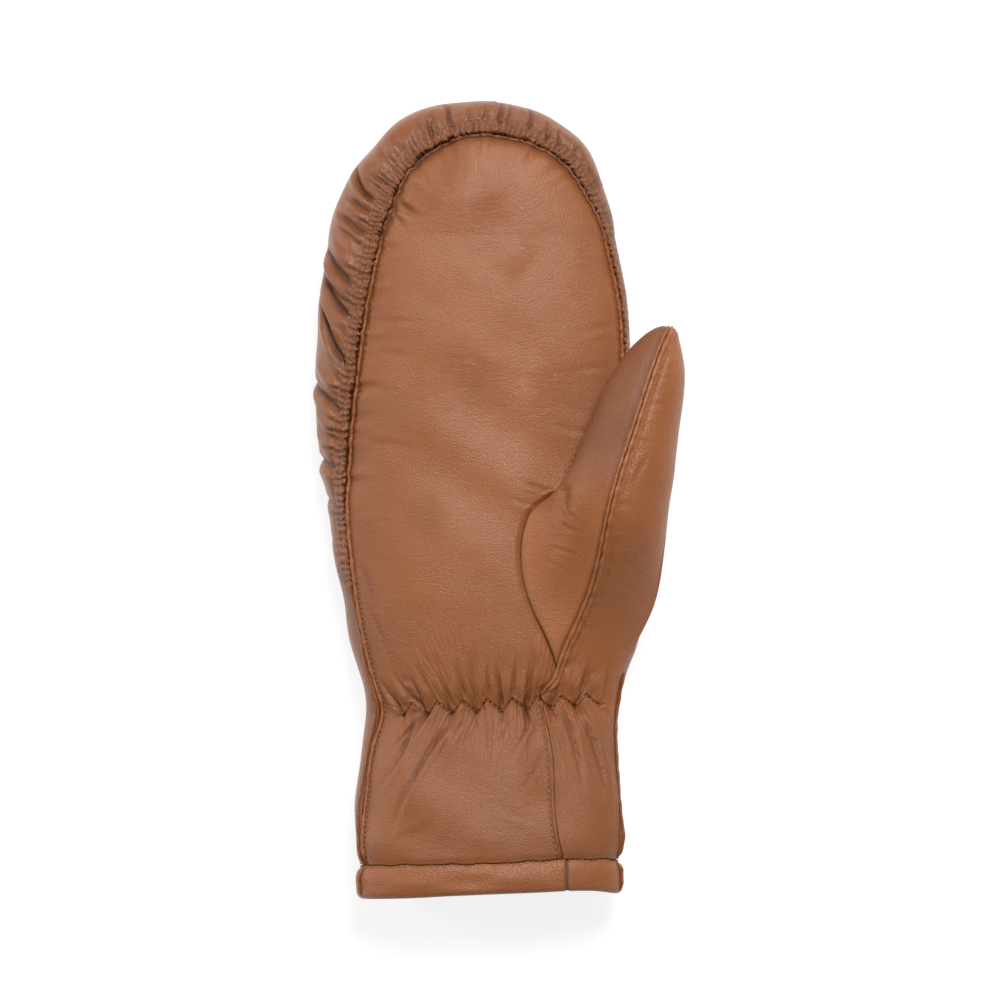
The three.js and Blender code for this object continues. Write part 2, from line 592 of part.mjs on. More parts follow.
// The turned hem is a soft ring. "up" is a share of its width from the cuff's edge, and "in" is how
// deep the point lies below the cuff's plain surface.
const HEM_PROFILE = [
  { up: 1.0, in: 0.1 * HEM_THICKNESS },
  { up: 0.86, in: -0.6 * HEM_PUFF },
  { up: 0.6, in: -HEM_PUFF },
  { up: 0.3, in: -HEM_PUFF },
  { up: 0.08, in: -0.3 * HEM_PUFF },
  { up: 0.0, in: 0.35 * HEM_THICKNESS },
  { up: 0.02, in: 0.75 * HEM_THICKNESS },
  { up: 0.2, in: HEM_THICKNESS },
  { up: 0.6, in: HEM_THICKNESS },
  { up: 1.0, in: HEM_THICKNESS },
];
function makeHem() {
  const rounds = [
    ...steps(0, Math.PI, HEM_ROUND_STEPS).slice(0, -1).map((round) => [-1, round]),
    ...steps(Math.PI, 0, HEM_ROUND_STEPS).slice(0, -1).map((round) => [1, round]),
  ];
  const width = HEM_WIDTH - SEAM_GAP;
  const points = rounds.flatMap(([side, round]) => {
    const station = (p) => rowStation((p.up * width) / BODY_LENGTH, side);
    return HEM_PROFILE.map((p) => bagPoint(station(p), round, p.in));
  });
  const n = HEM_PROFILE.length;
  const index = [];
  rounds.forEach((_round, i) => {
    HEM_PROFILE.forEach((_row, j) => {
      const here = i * n;
      const beyond = ((i + 1) % rounds.length) * n;
      const [j1, j2] = [j, (j + 1) % n];
      index.push(here + j1, beyond + j2, here + j2, here + j1, beyond + j1, beyond + j2);
    });
  });
  const geometry = new THREE.BufferGeometry().setFromPoints(points);
  geometry.setIndex(index);
  geometry.computeVertexNormals();
  const mesh = new THREE.Mesh(geometry, hemLeather);
  mesh.name = "cuff_hem";
  return mesh;
}

const mitten = new THREE.Group();
mitten.name = "leather_mitten";
mitten.add(makePalm(), makeBack(), makeThumbInner(), makeThumbOuter(), makeHem());
export default mitten;
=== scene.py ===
# %% [markdown]
# # A leather mitten, sewn piece by piece
#
# This lesson dresses a right-hand leather mitten that lies on its back with the palm up. The solids
# that carry its shape come from the frame, and each one is replaced by finer leather made here: a
# palm, a back whose border is gathered over the fingertips, the two halves of the thumb and a
# turned hem. Everything is in metres, with +Y towards the fingertips and +Z out of the palm.

# %% Load the frame
import math
import random
from types import SimpleNamespace

import bmesh
import bpy
import numpy as np
from mathutils import Matrix, Vector


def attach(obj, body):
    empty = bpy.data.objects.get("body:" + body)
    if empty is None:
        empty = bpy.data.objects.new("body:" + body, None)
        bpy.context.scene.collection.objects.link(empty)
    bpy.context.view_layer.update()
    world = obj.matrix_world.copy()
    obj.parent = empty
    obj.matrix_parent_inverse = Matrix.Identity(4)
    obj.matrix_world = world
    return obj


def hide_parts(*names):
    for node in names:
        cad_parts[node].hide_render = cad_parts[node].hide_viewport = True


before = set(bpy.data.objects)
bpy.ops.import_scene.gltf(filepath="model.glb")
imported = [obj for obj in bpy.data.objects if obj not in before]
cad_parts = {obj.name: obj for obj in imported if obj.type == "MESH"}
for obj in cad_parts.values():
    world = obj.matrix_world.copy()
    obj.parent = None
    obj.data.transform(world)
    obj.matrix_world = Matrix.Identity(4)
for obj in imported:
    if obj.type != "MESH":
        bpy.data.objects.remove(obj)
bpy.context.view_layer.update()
print("nodes:", ", ".join(sorted(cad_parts)))

# %% [markdown]
# ## The sizes
#
# The mitten is drawn from a handful of lengths, the same ones that its solids were built from.
# Shares of these lengths say where each section and each seam lies, so the whole mitten follows
# when one of them changes.

# %% Driving sizes
MITTEN_LENGTH = 0.265
TIP_LENGTH = 0.0445
HAND_WIDTH = 0.103
WRIST_WIDTH = 0.084
CUFF_WIDTH = 0.089
HAND_DEPTH = 0.033
WRIST_DEPTH = 0.030
CUFF_DEPTH = 0.036
THUMB_LENGTH = 0.0465
THUMB_WIDTH = 0.033
THUMB_DEPTH = 0.026
THUMB_CLEARANCE = 0.001
THUMB_SWELL = 0.0035
SWELL_AT = 0.3
SWELL_RISE = 1.6
THUMB_LEAN = math.radians(15.8)
HEM_WIDTH = 0.0129
HEM_THICKNESS = 0.0032
HEM_PUFF = 0.0006
HEM_SHIFT = 0.0032
HEM_TUCK = 0.0002
LEATHER = 0.0018
SEAM_GAP = 0.0003
FLOOR_SOFTNESS = 0.001
FLOOR_PRESS = 0.0025
TOP_ROUNDNESS = 2.2
BACK_ROUNDNESS = 2.5
BODY_LENGTH = MITTEN_LENGTH - TIP_LENGTH
HEM_END = -MITTEN_LENGTH / 2
HEM_LINE = (HEM_WIDTH - HEM_TUCK) / BODY_LENGTH
HEEL_AT = 0.346
CROTCH_AT = 0.636
GATHERS_FROM = 0.475
UPPER_SIDE = 0.6
print(f"body {BODY_LENGTH * 1000:.1f} mm long, hem line at {HEM_LINE:.3f} of it")

# %% [markdown]
# A table keeps each column of numbers under its own name. `along` reads a column as a smooth curve
# through its rows, so that a few listed sections give a shape without corners.


# %% Tables and smooth curves
def table(columns, *rows):
    """Named columns from short rows of numbers."""
    return {name: np.array(column, float) for name, column in zip(columns.split(), zip(*rows))}


def curve(a, leave, b, arrive, u):
    """A smooth way from a to b, by its directions at both ends."""
    return (
        a * (2 * u**3 - 3 * u**2 + 1)
        + leave * (u**3 - 2 * u**2 + u)
        + b * (3 * u**2 - 2 * u**3)
        + arrive * (u**3 - u**2)
    )


def along(rows, column, t):
    """A smooth curve through a column, by the table's first column."""
    keys = next(iter(rows.values()))
    values = rows[column]
    last = len(keys) - 1
    k = np.arange(last + 1)
    ahead, behind = np.minimum(k + 1, last), np.maximum(k - 1, 0)
    slopes = (values[ahead] - values[behind]) / (keys[ahead] - keys[behind])
    i = np.clip(np.searchsorted(keys, t, side="left") - 1, 0, last - 1)
    step = keys[i + 1] - keys[i]
    u = np.clip((t - keys[i]) / step, 0, 1)
    return curve(values[i], step * slopes[i], values[i + 1], step * slopes[i + 1], u)


def smoothstep(x, low, high):
    t = np.clip((x - low) / (high - low), 0, 1)
    return t * t * (3 - 2 * t)


def bump(x, width):
    """A soft hill, 1 at its middle."""
    return np.exp(-((x / width) ** 2))


def mix(a, b, t):
    return a + (b - a) * t


# %% Sections across the bag
SECTIONS = table(
    "at spine left right crown",
    (0.0, -0.036, 0.489 * CUFF_WIDTH, 0.493 * CUFF_WIDTH, CUFF_DEPTH),
    (0.053, -0.036, 0.492 * CUFF_WIDTH, 0.495 * CUFF_WIDTH, CUFF_DEPTH),
    (0.094, -0.037, 0.498 * CUFF_WIDTH, 0.506 * CUFF_WIDTH, CUFF_DEPTH),
    (0.146, -0.039, 0.498 * CUFF_WIDTH, 0.5 * CUFF_WIDTH, 0.97 * CUFF_DEPTH),
    (0.222, -0.042, 0.468 * CUFF_WIDTH, 0.487 * CUFF_WIDTH, 0.9 * CUFF_DEPTH),
    (0.276, -0.047, 0.479 * WRIST_WIDTH, 0.521 * WRIST_WIDTH, WRIST_DEPTH),
    (0.313, -0.055, 0.388 * HAND_WIDTH, 0.447 * HAND_WIDTH, 1.02 * WRIST_DEPTH),
    (0.346, -0.065, 0.395 * HAND_WIDTH, 0.482 * HAND_WIDTH, 0.95 * HAND_DEPTH),
    (0.373, -0.071, 0.403 * HAND_WIDTH, 0.511 * HAND_WIDTH, 0.97 * HAND_DEPTH),
    (0.41, -0.075, 0.415 * HAND_WIDTH, 0.528 * HAND_WIDTH, 0.985 * HAND_DEPTH),
    (0.46, -0.079, 0.43 * HAND_WIDTH, 0.531 * HAND_WIDTH, HAND_DEPTH),
    (0.539, -0.085, 0.456 * HAND_WIDTH, 0.525 * HAND_WIDTH, 0.985 * HAND_DEPTH),
    (0.652, -0.091, 0.49 * HAND_WIDTH, 0.515 * HAND_WIDTH, 0.94 * HAND_DEPTH),
    (0.781, -0.091, 0.508 * HAND_WIDTH, 0.515 * HAND_WIDTH, 0.91 * HAND_DEPTH),
    (0.902, -0.091, 0.492 * HAND_WIDTH, 0.503 * HAND_WIDTH, 0.88 * HAND_DEPTH),
    (1.0, -0.091, 0.463 * HAND_WIDTH, 0.463 * HAND_WIDTH, 0.82 * HAND_DEPTH),
)
RIM_HEIGHT = table(
    "at share", (0.0, 0.5), (0.2, 0.47), (0.276, 0.48), (0.4, 0.42), (0.65, 0.38), (1.0, 0.4)
)
TIP_FAN = table(
    "turn reach seam",
    (0, 1.0, 0.937),
    (20, 0.99, 0.885),
    (40, 1.045, 0.83),
    (60, 1.045, 0.79),
    (75, 1.018, 0.78),
    (90, 1.02, 0.76),
    (110, 1.01, 0.725),
    (140, 0.968, 0.675),
    (160, 0.972, 0.64),
    (180, 1.0, 0.655),
)

# %% Seams, as shares of the way from the spine to the rim
OUTER_SEAM = table(
    "at out",
    (0.0, 0.966),
    (0.1, 0.957),
    (0.2, 0.94),
    (0.237, 0.927),
    (0.282, 0.884),
    (0.328, 0.909),
    (0.45, 0.917),
    (0.554, 0.894),
    (0.66, 0.837),
    (0.781, 0.758),
    (0.9, 0.71),
    (1.0, 0.655),
)
THUMB_SIDE_SEAM = table(
    "at out",
    (0.0, 0.985),
    (0.1, 0.975),
    (0.29, 0.985),
    (0.346, 0.97),
    (0.636, 0.97),
    (0.87, 0.955),
    (1.0, 0.937),
)
CUFF_FRONT_SEAM = table(
    "at out",
    (0.0, 0.6),
    (0.053, 0.568),
    (0.094, 0.515),
    (0.146, 0.502),
    (0.207, 0.506),
    (0.252, 0.481),
    (0.293, 0.43),
    (0.308, 0.43),
    (0.328, 0.495),
    (0.346, 0.517),
)
GUSSET_SEAM = table(
    "at out",
    (0.346, 0.517),
    (0.388, 0.436),
    (0.4365, 0.343),
    (0.48, 0.295),
    (0.524, 0.289),
    (0.554, 0.311),
    (0.5815, 0.356),
    (0.5996, 0.433),
    (0.6117, 0.508),
    (0.6177, 0.589),
)
CROTCH_SEAM = table("at out", (0.6177, 0.589), (0.6215, 0.72), (0.628, 0.85), (0.636, 0.97))

# %% [markdown]
# ## The shape of the bag
#
# A mitten is a flattened bag. Each section is a rounded curve that runs from the spine of the palm
# out over the rim and back to the spine of the back, and the fingertips are a fan of such sections.
# A *station* is one of them, and `bag_point` turns a station and a turn of its curve into a place.


# %% Stations
def row_stations(at, side):
    """Sections across the hand, on its outer side (-1) or the thumb's side (1)."""
    at = np.atleast_1d(np.asarray(at, float))
    at = at if at.ndim == 2 else at[:, None]
    crown = along(SECTIONS, "crown", at)
    return SimpleNamespace(
        at=at,
        side=np.full_like(at, side),
        x=along(SECTIONS, "spine", at) * HAND_WIDTH,
        y=HEM_END + at * BODY_LENGTH,
        dx=np.full_like(at, side),
        dy=np.zeros_like(at),
        reach=along(SECTIONS, "left" if side < 0 else "right", at),
        crown=crown,
        rim=crown * along(RIM_HEIGHT, "share", at),
        seam=along(OUTER_SEAM if side < 0 else THUMB_SIDE_SEAM, "out", at),
        fan=np.zeros_like(at),
    )


def fan_stations(turn):
    """Rays of the fan at the fingertips, by degrees from the thumb's side."""
    turn = np.atleast_1d(np.asarray(turn, float))[:, None]
    end = row_stations(np.ones(len(turn)), 1)
    reach = along(TIP_FAN, "reach", turn)
    px = np.cos(np.radians(turn)) * reach * end.reach
    py = np.sin(np.radians(turn)) * reach * TIP_LENGTH
    end.reach = np.hypot(px, py)
    end.dx, end.dy = px / end.reach, py / end.reach
    end.side = np.where(turn > 90, -1.0, 1.0)
    end.seam = along(TIP_FAN, "seam", turn)
    end.fan = turn
    return end


def joined(*groups):
    keys = vars(groups[0])
    return SimpleNamespace(**{k: np.concatenate([getattr(g, k) for g in groups]) for k in keys})


# %% A place on the bag
def settle(z):
    """Leather that would go through the floor lies flat on it."""
    soft = (z + FLOOR_SOFTNESS) ** 2 / (4 * FLOOR_SOFTNESS)
    return np.where(z > FLOOR_SOFTNESS, z, np.where(z < -FLOOR_SOFTNESS, 0, soft))


def bag_point(st, turn, relief=0.0):
    """Points of the bag. The turn is 0 at the palm's spine, half pi at the rim and pi at the back's."""
    top = turn < math.pi / 2
    power = np.where(top, 2 / TOP_ROUNDNESS, 2 / BACK_ROUNDNESS)
    flat = (st.reach + relief) * np.maximum(np.sin(turn), 0) ** power
    up = np.abs(np.cos(turn)) ** power
    over = st.rim + (st.crown + relief - st.rim) * up
    under = settle(st.rim - (st.rim + FLOOR_PRESS + relief) * up)
    z = np.where(top, over, under)
    return np.stack([st.x + st.dx * flat, st.y + st.dy * flat, z + 0 * flat], axis=-1)


def turn_of(share):
    return np.arcsin(np.minimum(share, 1) ** (TOP_ROUNDNESS / 2))


# %% Grids of points: their normals, lengths and relief
def unit(v):
    return v / np.maximum(np.linalg.norm(v, axis=-1, keepdims=True), 1e-12)


def normals_of(points):
    """Normals of a grid, out of the leather."""
    down = np.gradient(points, axis=0)
    across = np.gradient(points, axis=1)
    return unit(np.cross(down, across))


def length_so_far(line):
    """Length along a line of points, from its first point."""
    return np.concatenate([[0], np.cumsum(np.linalg.norm(np.diff(line, axis=0), axis=-1))])


def lengths_across(points):
    """Length along each row of a grid, from its first point."""
    steps = np.linalg.norm(np.diff(points, axis=1), axis=-1)
    return np.concatenate([np.zeros((len(points), 1)), np.cumsum(steps, axis=1)], axis=1)


def raised(points, relief):
    """The grid, moved out along its normals."""
    return points + normals_of(points) * relief[..., None]


def line_along(points, distance, value):
    """Where each row of a grid is at one distance from its edge: the places and their normals."""
    way = 1 if distance[0, -1] > distance[0, 0] else -1
    normals = normals_of(points)

    def read(field):
        rows = zip(distance[:, ::way], field[:, ::way])
        return np.array([[np.interp(value, d, row[:, k]) for k in range(3)] for d, row in rows])

    return read(points), unit(read(normals))


def even_path(points, normals, spacing):
    """The same line with even steps: places, normals and lengths."""
    length = length_so_far(points)
    even = np.linspace(0, length[-1], max(round(length[-1] / spacing), 2) + 1)

    def read(field):
        return np.stack([np.interp(even, length, field[:, k]) for k in range(3)], axis=-1)

    return read(points), unit(read(normals)), even


# %% [markdown]
# ## Small waves by chance, and creases one by one
#
# Leather never folds evenly. `waves` adds a few sine waves whose lengths don't divide each other and
# whose starts come from a seeded chance, so that it is the same on every run. The creases that give
# this mitten its look are drawn one by one in a table, in millimetres: each is deepest at its first
# end, bows to one side by `bend` and fades out before its second end.


# %% Waves and gathers
def waves(x, lengths, seed):
    """A wandering line between about -1 and 1."""
    chance = random.Random(seed)
    total = np.zeros_like(np.asarray(x, float))
    for length in lengths:
        total = total + np.sin(2 * math.pi * (x / length + chance.random()))
    return total / math.sqrt(len(lengths))


CREASE_WOBBLE = 0.12
CREASE_START = -0.05, 0.2
CREASE_FADE = 0.4, 1.0
# Painted shade in a crease's valley, for each millimetre of its depth.
CREASE_SHADE_PER_DEPTH = 0.9


def hand_creases(rows, x, y):
    """Height in metres, and painted shade in their valleys, of creases drawn in millimetres."""
    x, y = x * 1000, y * 1000
    height, dark = np.zeros_like(x), np.zeros_like(x)
    for k, (ax, ay, bx, by, bend, depth, wide) in enumerate(zip(*rows.values())):
        run = math.hypot(bx - ax, by - ay)
        way_x, way_y = (bx - ax) / run, (by - ay) / run
        t = ((x - ax) * way_x + (y - ay) * way_y) / run
        aside = (y - ay) * way_x - (x - ax) * way_y - bend * 4 * t * (1 - t)
        aside = aside + CREASE_WOBBLE * wide * waves(t * run, (3.1, 5.3), 60 + k)
        there = smoothstep(t, *CREASE_START) * (1 - smoothstep(t, *CREASE_FADE))
        valley = bump(aside, wide)
        height += there * depth * (0.5 * bump(aside - 2.0 * wide, 1.4 * wide) - valley)
        # Painted shade in the valley, darker for deeper creases.
        dark = np.maximum(dark, there * valley * min(1.0, depth * CREASE_SHADE_PER_DEPTH))
    return height / 1000, dark


# %% [markdown]
# ## From a grid to a sewn sheet
#
# Each piece starts as flat grids from `bmesh.ops.create_grid`. Their vertices are carried to their
# places on the hand, edges that meet are welded, and a Solidify modifier gives the leather its wall.
# Up to three numbers are kept at each vertex for the leather's material. The first is painted shade:
# how much the leather's colour is darkened where shade falls, in folds and seams, beside the thumb
# and over the cuff, and it makes the leather a little rougher there. `fan` says where the fine lines
# beside the elastic run, and `pull` how much they show.


# %% The sheet maker
def new_piece(name, bm, material, node=None):
    mesh = bpy.data.meshes.new(name)
    bm.to_mesh(mesh)
    bm.free()
    piece = bpy.data.objects.new(name, mesh)
    bpy.context.scene.collection.objects.link(piece)
    mesh.materials.append(material)
    mesh.shade_smooth()
    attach(piece, "root")
    if node:
        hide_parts(node)
    print(f"{name}: {len(mesh.vertices)} vertices, {len(mesh.polygons)} faces")
    return piece


def add_grid(bm, points, values=None):
    """One grid with its vertices carried to their places, and numbers to keep at them by name."""
    kept = bm.verts.layers.float
    layers = {kept.get(name) or kept.new(name): numbers for name, numbers in (values or {}).items()}
    rows, columns = points.shape[:2]
    made = bmesh.ops.create_grid(bm, x_segments=rows - 1, y_segments=columns - 1, size=1)
    for vert in made["verts"]:
        i = round((vert.co.x + 1) / 2 * (rows - 1))
        j = round((vert.co.y + 1) / 2 * (columns - 1))
        vert.co = points[i, j]
        for layer, numbers in layers.items():
            vert[layer] = numbers[i, j]


WELD = 0.00001
LAYERS = ("painted_shade", "fan", "pull")


def leather_sheet(name, patches, material, node, wall=LEATHER):
    """A closed piece of leather. Each patch is a grid of points, with the numbers kept at them."""
    bm = bmesh.new()
    for points, *values in patches:
        add_grid(bm, points, {layer: np.clip(v, -1, 1) for layer, v in zip(LAYERS, values)})
    bmesh.ops.remove_doubles(bm, verts=bm.verts, dist=WELD)
    piece = new_piece(name, bm, material, node)
    if wall:
        solidify = piece.modifiers.new("wall", "SOLIDIFY")
        solidify.thickness = wall
        solidify.offset = -1


# %% [markdown]
# ## Raw edges and stitches
#
# This mitten is sewn with its cut edges outwards, so most seams show one or two thin raw edges and
# a row of stitches beside them. An edge is a small section carried along a line on the leather: a
# grid rolled into a tube and drawn in to a point at both ends. A stitch is a small ellipsoid, laid
# along the seam and half sunk.


# %% Edges and stitches
STRIP_SIDES = 10
STRIP_STEP = 0.0005
STRIP_SQUARENESS = 0.7
UNEVEN = 0.14


def edge_strip(name, line, wide, tall, material, seed, aside=0.0, lift=0.3, wobble=0.0):
    """A raw edge along a line: (places, normals). Sizes are in metres."""
    spots, ups, length = even_path(*line, STRIP_STEP)
    across = unit(np.cross(ups, np.gradient(spots, axis=0)))
    thick = 1 + UNEVEN * waves(length, (0.0051, 0.0087), seed)
    shift = aside + wobble * waves(length, (0.0023, 0.0034, 0.0047), seed + 1)
    ends = np.sqrt(smoothstep(length, 0, 3 * wide) * smoothstep(length[-1] - length, 0, 3 * wide))
    turn = np.linspace(0, 2 * math.pi, STRIP_SIDES + 1)
    out = np.sign(np.cos(turn)) * np.abs(np.cos(turn)) ** STRIP_SQUARENESS * wide / 2
    up = np.sign(np.sin(turn)) * np.abs(np.sin(turn)) ** STRIP_SQUARENESS * tall / 2
    middle = spots + across * shift[:, None] + ups * (lift * tall * ends)[:, None]
    ring = across[:, None] * out[None, :, None] + ups[:, None] * up[None, :, None]
    points = middle[:, None] + ring * (thick * ends)[:, None, None]
    points[..., 2] = np.maximum(points[..., 2], 0)
    bm = bmesh.new()
    add_grid(bm, points)
    bmesh.ops.remove_doubles(bm, verts=bm.verts, dist=WELD)
    bmesh.ops.recalc_face_normals(bm, faces=bm.faces)
    new_piece(name, bm, material)


STITCH_HEIGHT = 0.45
STITCH_RISE = 0.1


def add_stitches(bm, line, pitch, long, thick, slant):
    """Stitches along a line: (places, normals)."""
    spots, ups, _ = even_path(*line, pitch)
    ways = unit(np.gradient(spots, axis=0))
    for spot, up, way in zip(spots[1:-1], ups[1:-1], ways[1:-1]):
        up = Vector(up)
        way = Matrix.Rotation(slant, 3, up) @ Vector(way)
        side = up.cross(way)
        axes = way * long / 2, side * thick / 2, up * thick * STITCH_HEIGHT
        place = Vector(spot) + up * thick * STITCH_RISE
        place.z = max(place.z, thick / 2)
        matrix = Matrix.Translation(place) @ Matrix(axes).transposed().to_4x4()
        bmesh.ops.create_uvsphere(bm, u_segments=8, v_segments=4, radius=1, matrix=matrix)


# %% [markdown]
# ## Nodes as Python
#
# A material is a small calculation. This class wraps one socket, so that `grain * 0.5 + folds` adds
# the Math nodes by itself. Any other node comes from `Shader.node`.


# %% The socket wrapper
class Value:
    """A number in a material, with the usual signs."""

    def __init__(self, shader, socket):
        self.shader = shader
        self.socket = socket

    def math(self, kind, *others):
        inputs = dict(enumerate((self, *others)))
        return self.shader.node("ShaderNodeMath", {"operation": kind}, inputs)

    def __add__(self, other):
        return self.math("ADD", other)

    def __mul__(self, other):
        return self.math("MULTIPLY", other)

    def __sub__(self, other):
        return self.math("SUBTRACT", other)

    def __rsub__(self, other):
        return (self * -1) + other

    def clamped(self):
        return self.math("MINIMUM", 1.0).math("MAXIMUM", 0.0)

    __radd__ = __add__
    __rmul__ = __mul__


class Shader:
    """The nodes of one material."""

    def __init__(self, name):
        self.material = bpy.data.materials.new(name)
        self.material.use_nodes = True
        self.tree = self.material.node_tree
        self.tree.nodes.clear()

    def node(self, kind, settings=None, inputs=None, output=0):
        made = self.tree.nodes.new(kind)
        for key, value in (settings or {}).items():
            setattr(made, key, value)
        for key, value in (inputs or {}).items():
            if isinstance(value, Value):
                self.tree.links.new(value.socket, made.inputs[key])
            elif value is not None:
                made.inputs[key].default_value = value
        return Value(self, made.outputs[output]) if made.outputs else None

    def blend(self, factor, a, b):
        """One colour over another."""
        sockets = {"Factor": factor, 6: a, 7: b}
        return self.node("ShaderNodeMix", {"data_type": "RGBA"}, sockets, 2)


# %% [markdown]
# ## The leather
#
# Glove leather is soft and fine. Close up it is a field of tiny pebbles parted by narrow lines, it
# wrinkles where it bends, and it shines softly where it is stretched. All three are worked out in the
# object's own space, so they have one scale over every piece. Beside the elastic it is drawn into
# fine lines, which follow the `fan` kept at its vertices. Pebbles, wrinkles and lines feed a Bump
# node, and clouds and mottles of darker dye vary the colour.


# %% Colours
def srgb(red, green, blue):
    """A screen colour, 0 to 255, as the linear colour that a shader takes."""
    def linear(c):
        c = c / 255
        return c / 12.92 if c <= 0.04045 else ((c + 0.055) / 1.055) ** 2.4
    return (linear(red), linear(green), linear(blue), 1.0)


CARAMEL = srgb(150, 90, 49)
CARAMEL_DEEP = srgb(128, 72, 35)
# The dark brown that painted shade blends towards.
SHADE_BROWN = srgb(52, 26, 13)

PEBBLES = 2000.0
WRINKLES = 330.0
FAN_ACROSS, FAN_ALONG = 1000.0, 70.0
PEBBLE_DEPTH = 0.28
FOLD_DEPTH = 0.2
WRINKLE_DEPTH = 0.22
GRAIN_HEIGHT = 0.0008
DRAWN_DEPTH = 0.8
# How far the fullest painted shade goes towards that brown.
SHADE_STRENGTH = 0.85


def leather(name, tint=(1.0, 1.0, 1.0), wrinkle=1.0, matt=0.35):
    """Glove leather. A tint darkens or lightens its colour for one piece, and a lower `matt` makes it
    shine.
    """
    s = Shader(name)
    place = s.node("ShaderNodeTexCoord", output=3)
    painted_shade, fan, pull = (
        s.node("ShaderNodeAttribute", {"attribute_name": layer}, output=2) for layer in LAYERS)

    clouds = s.node("ShaderNodeTexNoise", inputs={"Vector": place, "Scale": 28.0, "Detail": 4.0})
    mottle = s.node("ShaderNodeTexNoise", inputs={"Vector": place, "Scale": 160.0, "Detail": 3.0})
    pebbles = s.node("ShaderNodeTexVoronoi", {"feature": "F1"}, {"Vector": place, "Scale": PEBBLES})
    stretch = s.node("ShaderNodeMapping", inputs={"Vector": place, "Scale": (1.0, 2.6, 1.0)})
    folds = s.node("ShaderNodeTexNoise", inputs={
        "Vector": stretch, "Scale": WRINKLES, "Detail": 5.0, "Roughness": 0.62, "Distortion": 0.6})

    deep, light = (
        tuple(a * b for a, b in zip(dye, (*tint, 1))) for dye in (CARAMEL_DEEP, CARAMEL))
    dye = (clouds * 0.5 + mottle * 0.5).clamped()
    colour = s.blend(dye, deep, light)
    # Painted shade: the colour is blended towards the dark brown as far as the shade kept at the vertices
    # says.
    colour = s.blend(painted_shade * SHADE_STRENGTH, colour, SHADE_BROWN)

    patches = s.node("ShaderNodeTexNoise", inputs={"Vector": place, "Scale": 38.0, "Detail": 2.0})
    lines = ((folds - 0.5).math("ABSOLUTE") * 9.0).clamped()
    wrinkled = (patches * 5.0 - 2.4).clamped()
    lengthwise = s.node("ShaderNodeSeparateXYZ", inputs={0: place}, output=1)
    fan_place = s.node("ShaderNodeCombineXYZ", inputs={0: fan * FAN_ACROSS, 1: lengthwise * FAN_ALONG})
    drawn_in = s.node("ShaderNodeTexNoise", inputs={"Vector": fan_place, "Scale": 0.75, "Detail": 3.0})
    fan_lines = ((drawn_in - 0.5).math("ABSOLUTE") * 8.0).clamped()
    height = pebbles * -PEBBLE_DEPTH + folds * (FOLD_DEPTH * wrinkle)
    height = height + (lines - 1.0) * wrinkled * (WRINKLE_DEPTH * wrinkle)
    height = height + (fan_lines - 1.0) * pull * DRAWN_DEPTH
    grain = s.node("ShaderNodeBump", inputs={"Strength": 0.6, "Distance": GRAIN_HEIGHT, "Height": height})
    rough = pebbles * 0.1 + clouds * 0.06 + painted_shade * 0.2 + matt
    bsdf = s.node("ShaderNodeBsdfPrincipled", inputs={
        "Base Color": colour, "Roughness": rough.clamped(), "Normal": grain,
        "Specular IOR Level": 0.45, "IOR": 1.5})
    s.node("ShaderNodeOutputMaterial", inputs={"Surface": bsdf})
    return s.material


# Tinted copies of one leather: the back is painted darker, as painted shade on its outer band, and the
# thumb's halves are a little lighter.
palm_leather = leather("palm_leather", wrinkle=1.25)
back_leather = leather("back_leather", tint=(0.78, 0.77, 0.77), wrinkle=0.9, matt=0.27)
thumb_leather = leather("thumb_leather", tint=(1.1, 1.09, 1.06), wrinkle=0.8)
gusset_leather = leather("gusset_leather", tint=(1.08, 1.09, 1.1), wrinkle=1.3)
hem_leather = leather("hem_leather", tint=(1.0, 0.99, 0.98), wrinkle=0.7)


# %% [markdown]
# Cut edges show the inside of the hide, a little redder and quite matt, and the thread is a thick
# twisted polyester close to the leather's colour.


# %% Cut edges and thread
def plain_finish(name, colour, dark, scale, roughness):
    s = Shader(name)
    place = s.node("ShaderNodeTexCoord", output=3)
    fibre = s.node("ShaderNodeTexNoise", inputs={"Vector": place, "Scale": scale, "Detail": 3.0})
    tone = s.blend(fibre, dark, colour)
    bumps = s.node("ShaderNodeBump", inputs={"Strength": 0.4, "Distance": 0.0003, "Height": fibre})
    bsdf = s.node("ShaderNodeBsdfPrincipled", inputs={
        "Base Color": tone, "Roughness": fibre * 0.1 + roughness, "Normal": bumps})
    s.node("ShaderNodeOutputMaterial", inputs={"Surface": bsdf})
    return s.material


edge_leather = plain_finish("cut_edge", srgb(140, 86, 56), srgb(96, 54, 34), 900.0, 0.6)
thread = plain_finish("thread", srgb(186, 138, 102), srgb(128, 82, 54), 2500.0, 0.5)
dark_thread = plain_finish("dark_thread", srgb(172, 122, 86), srgb(108, 68, 43), 2500.0, 0.5)

# %% [markdown]
# ## The elastic at the wrist
#
# A zigzag of elastic thread is sewn across the palm's side at the wrist. It pulls the leather in:
# below it the cuff stands up in rounded ruffles that start at the zigzag's peaks, and above it short
# folds run up the palm and spread like a fan. Both follow straight lines from one point, so one
# warp of the crosswise place serves for them all.

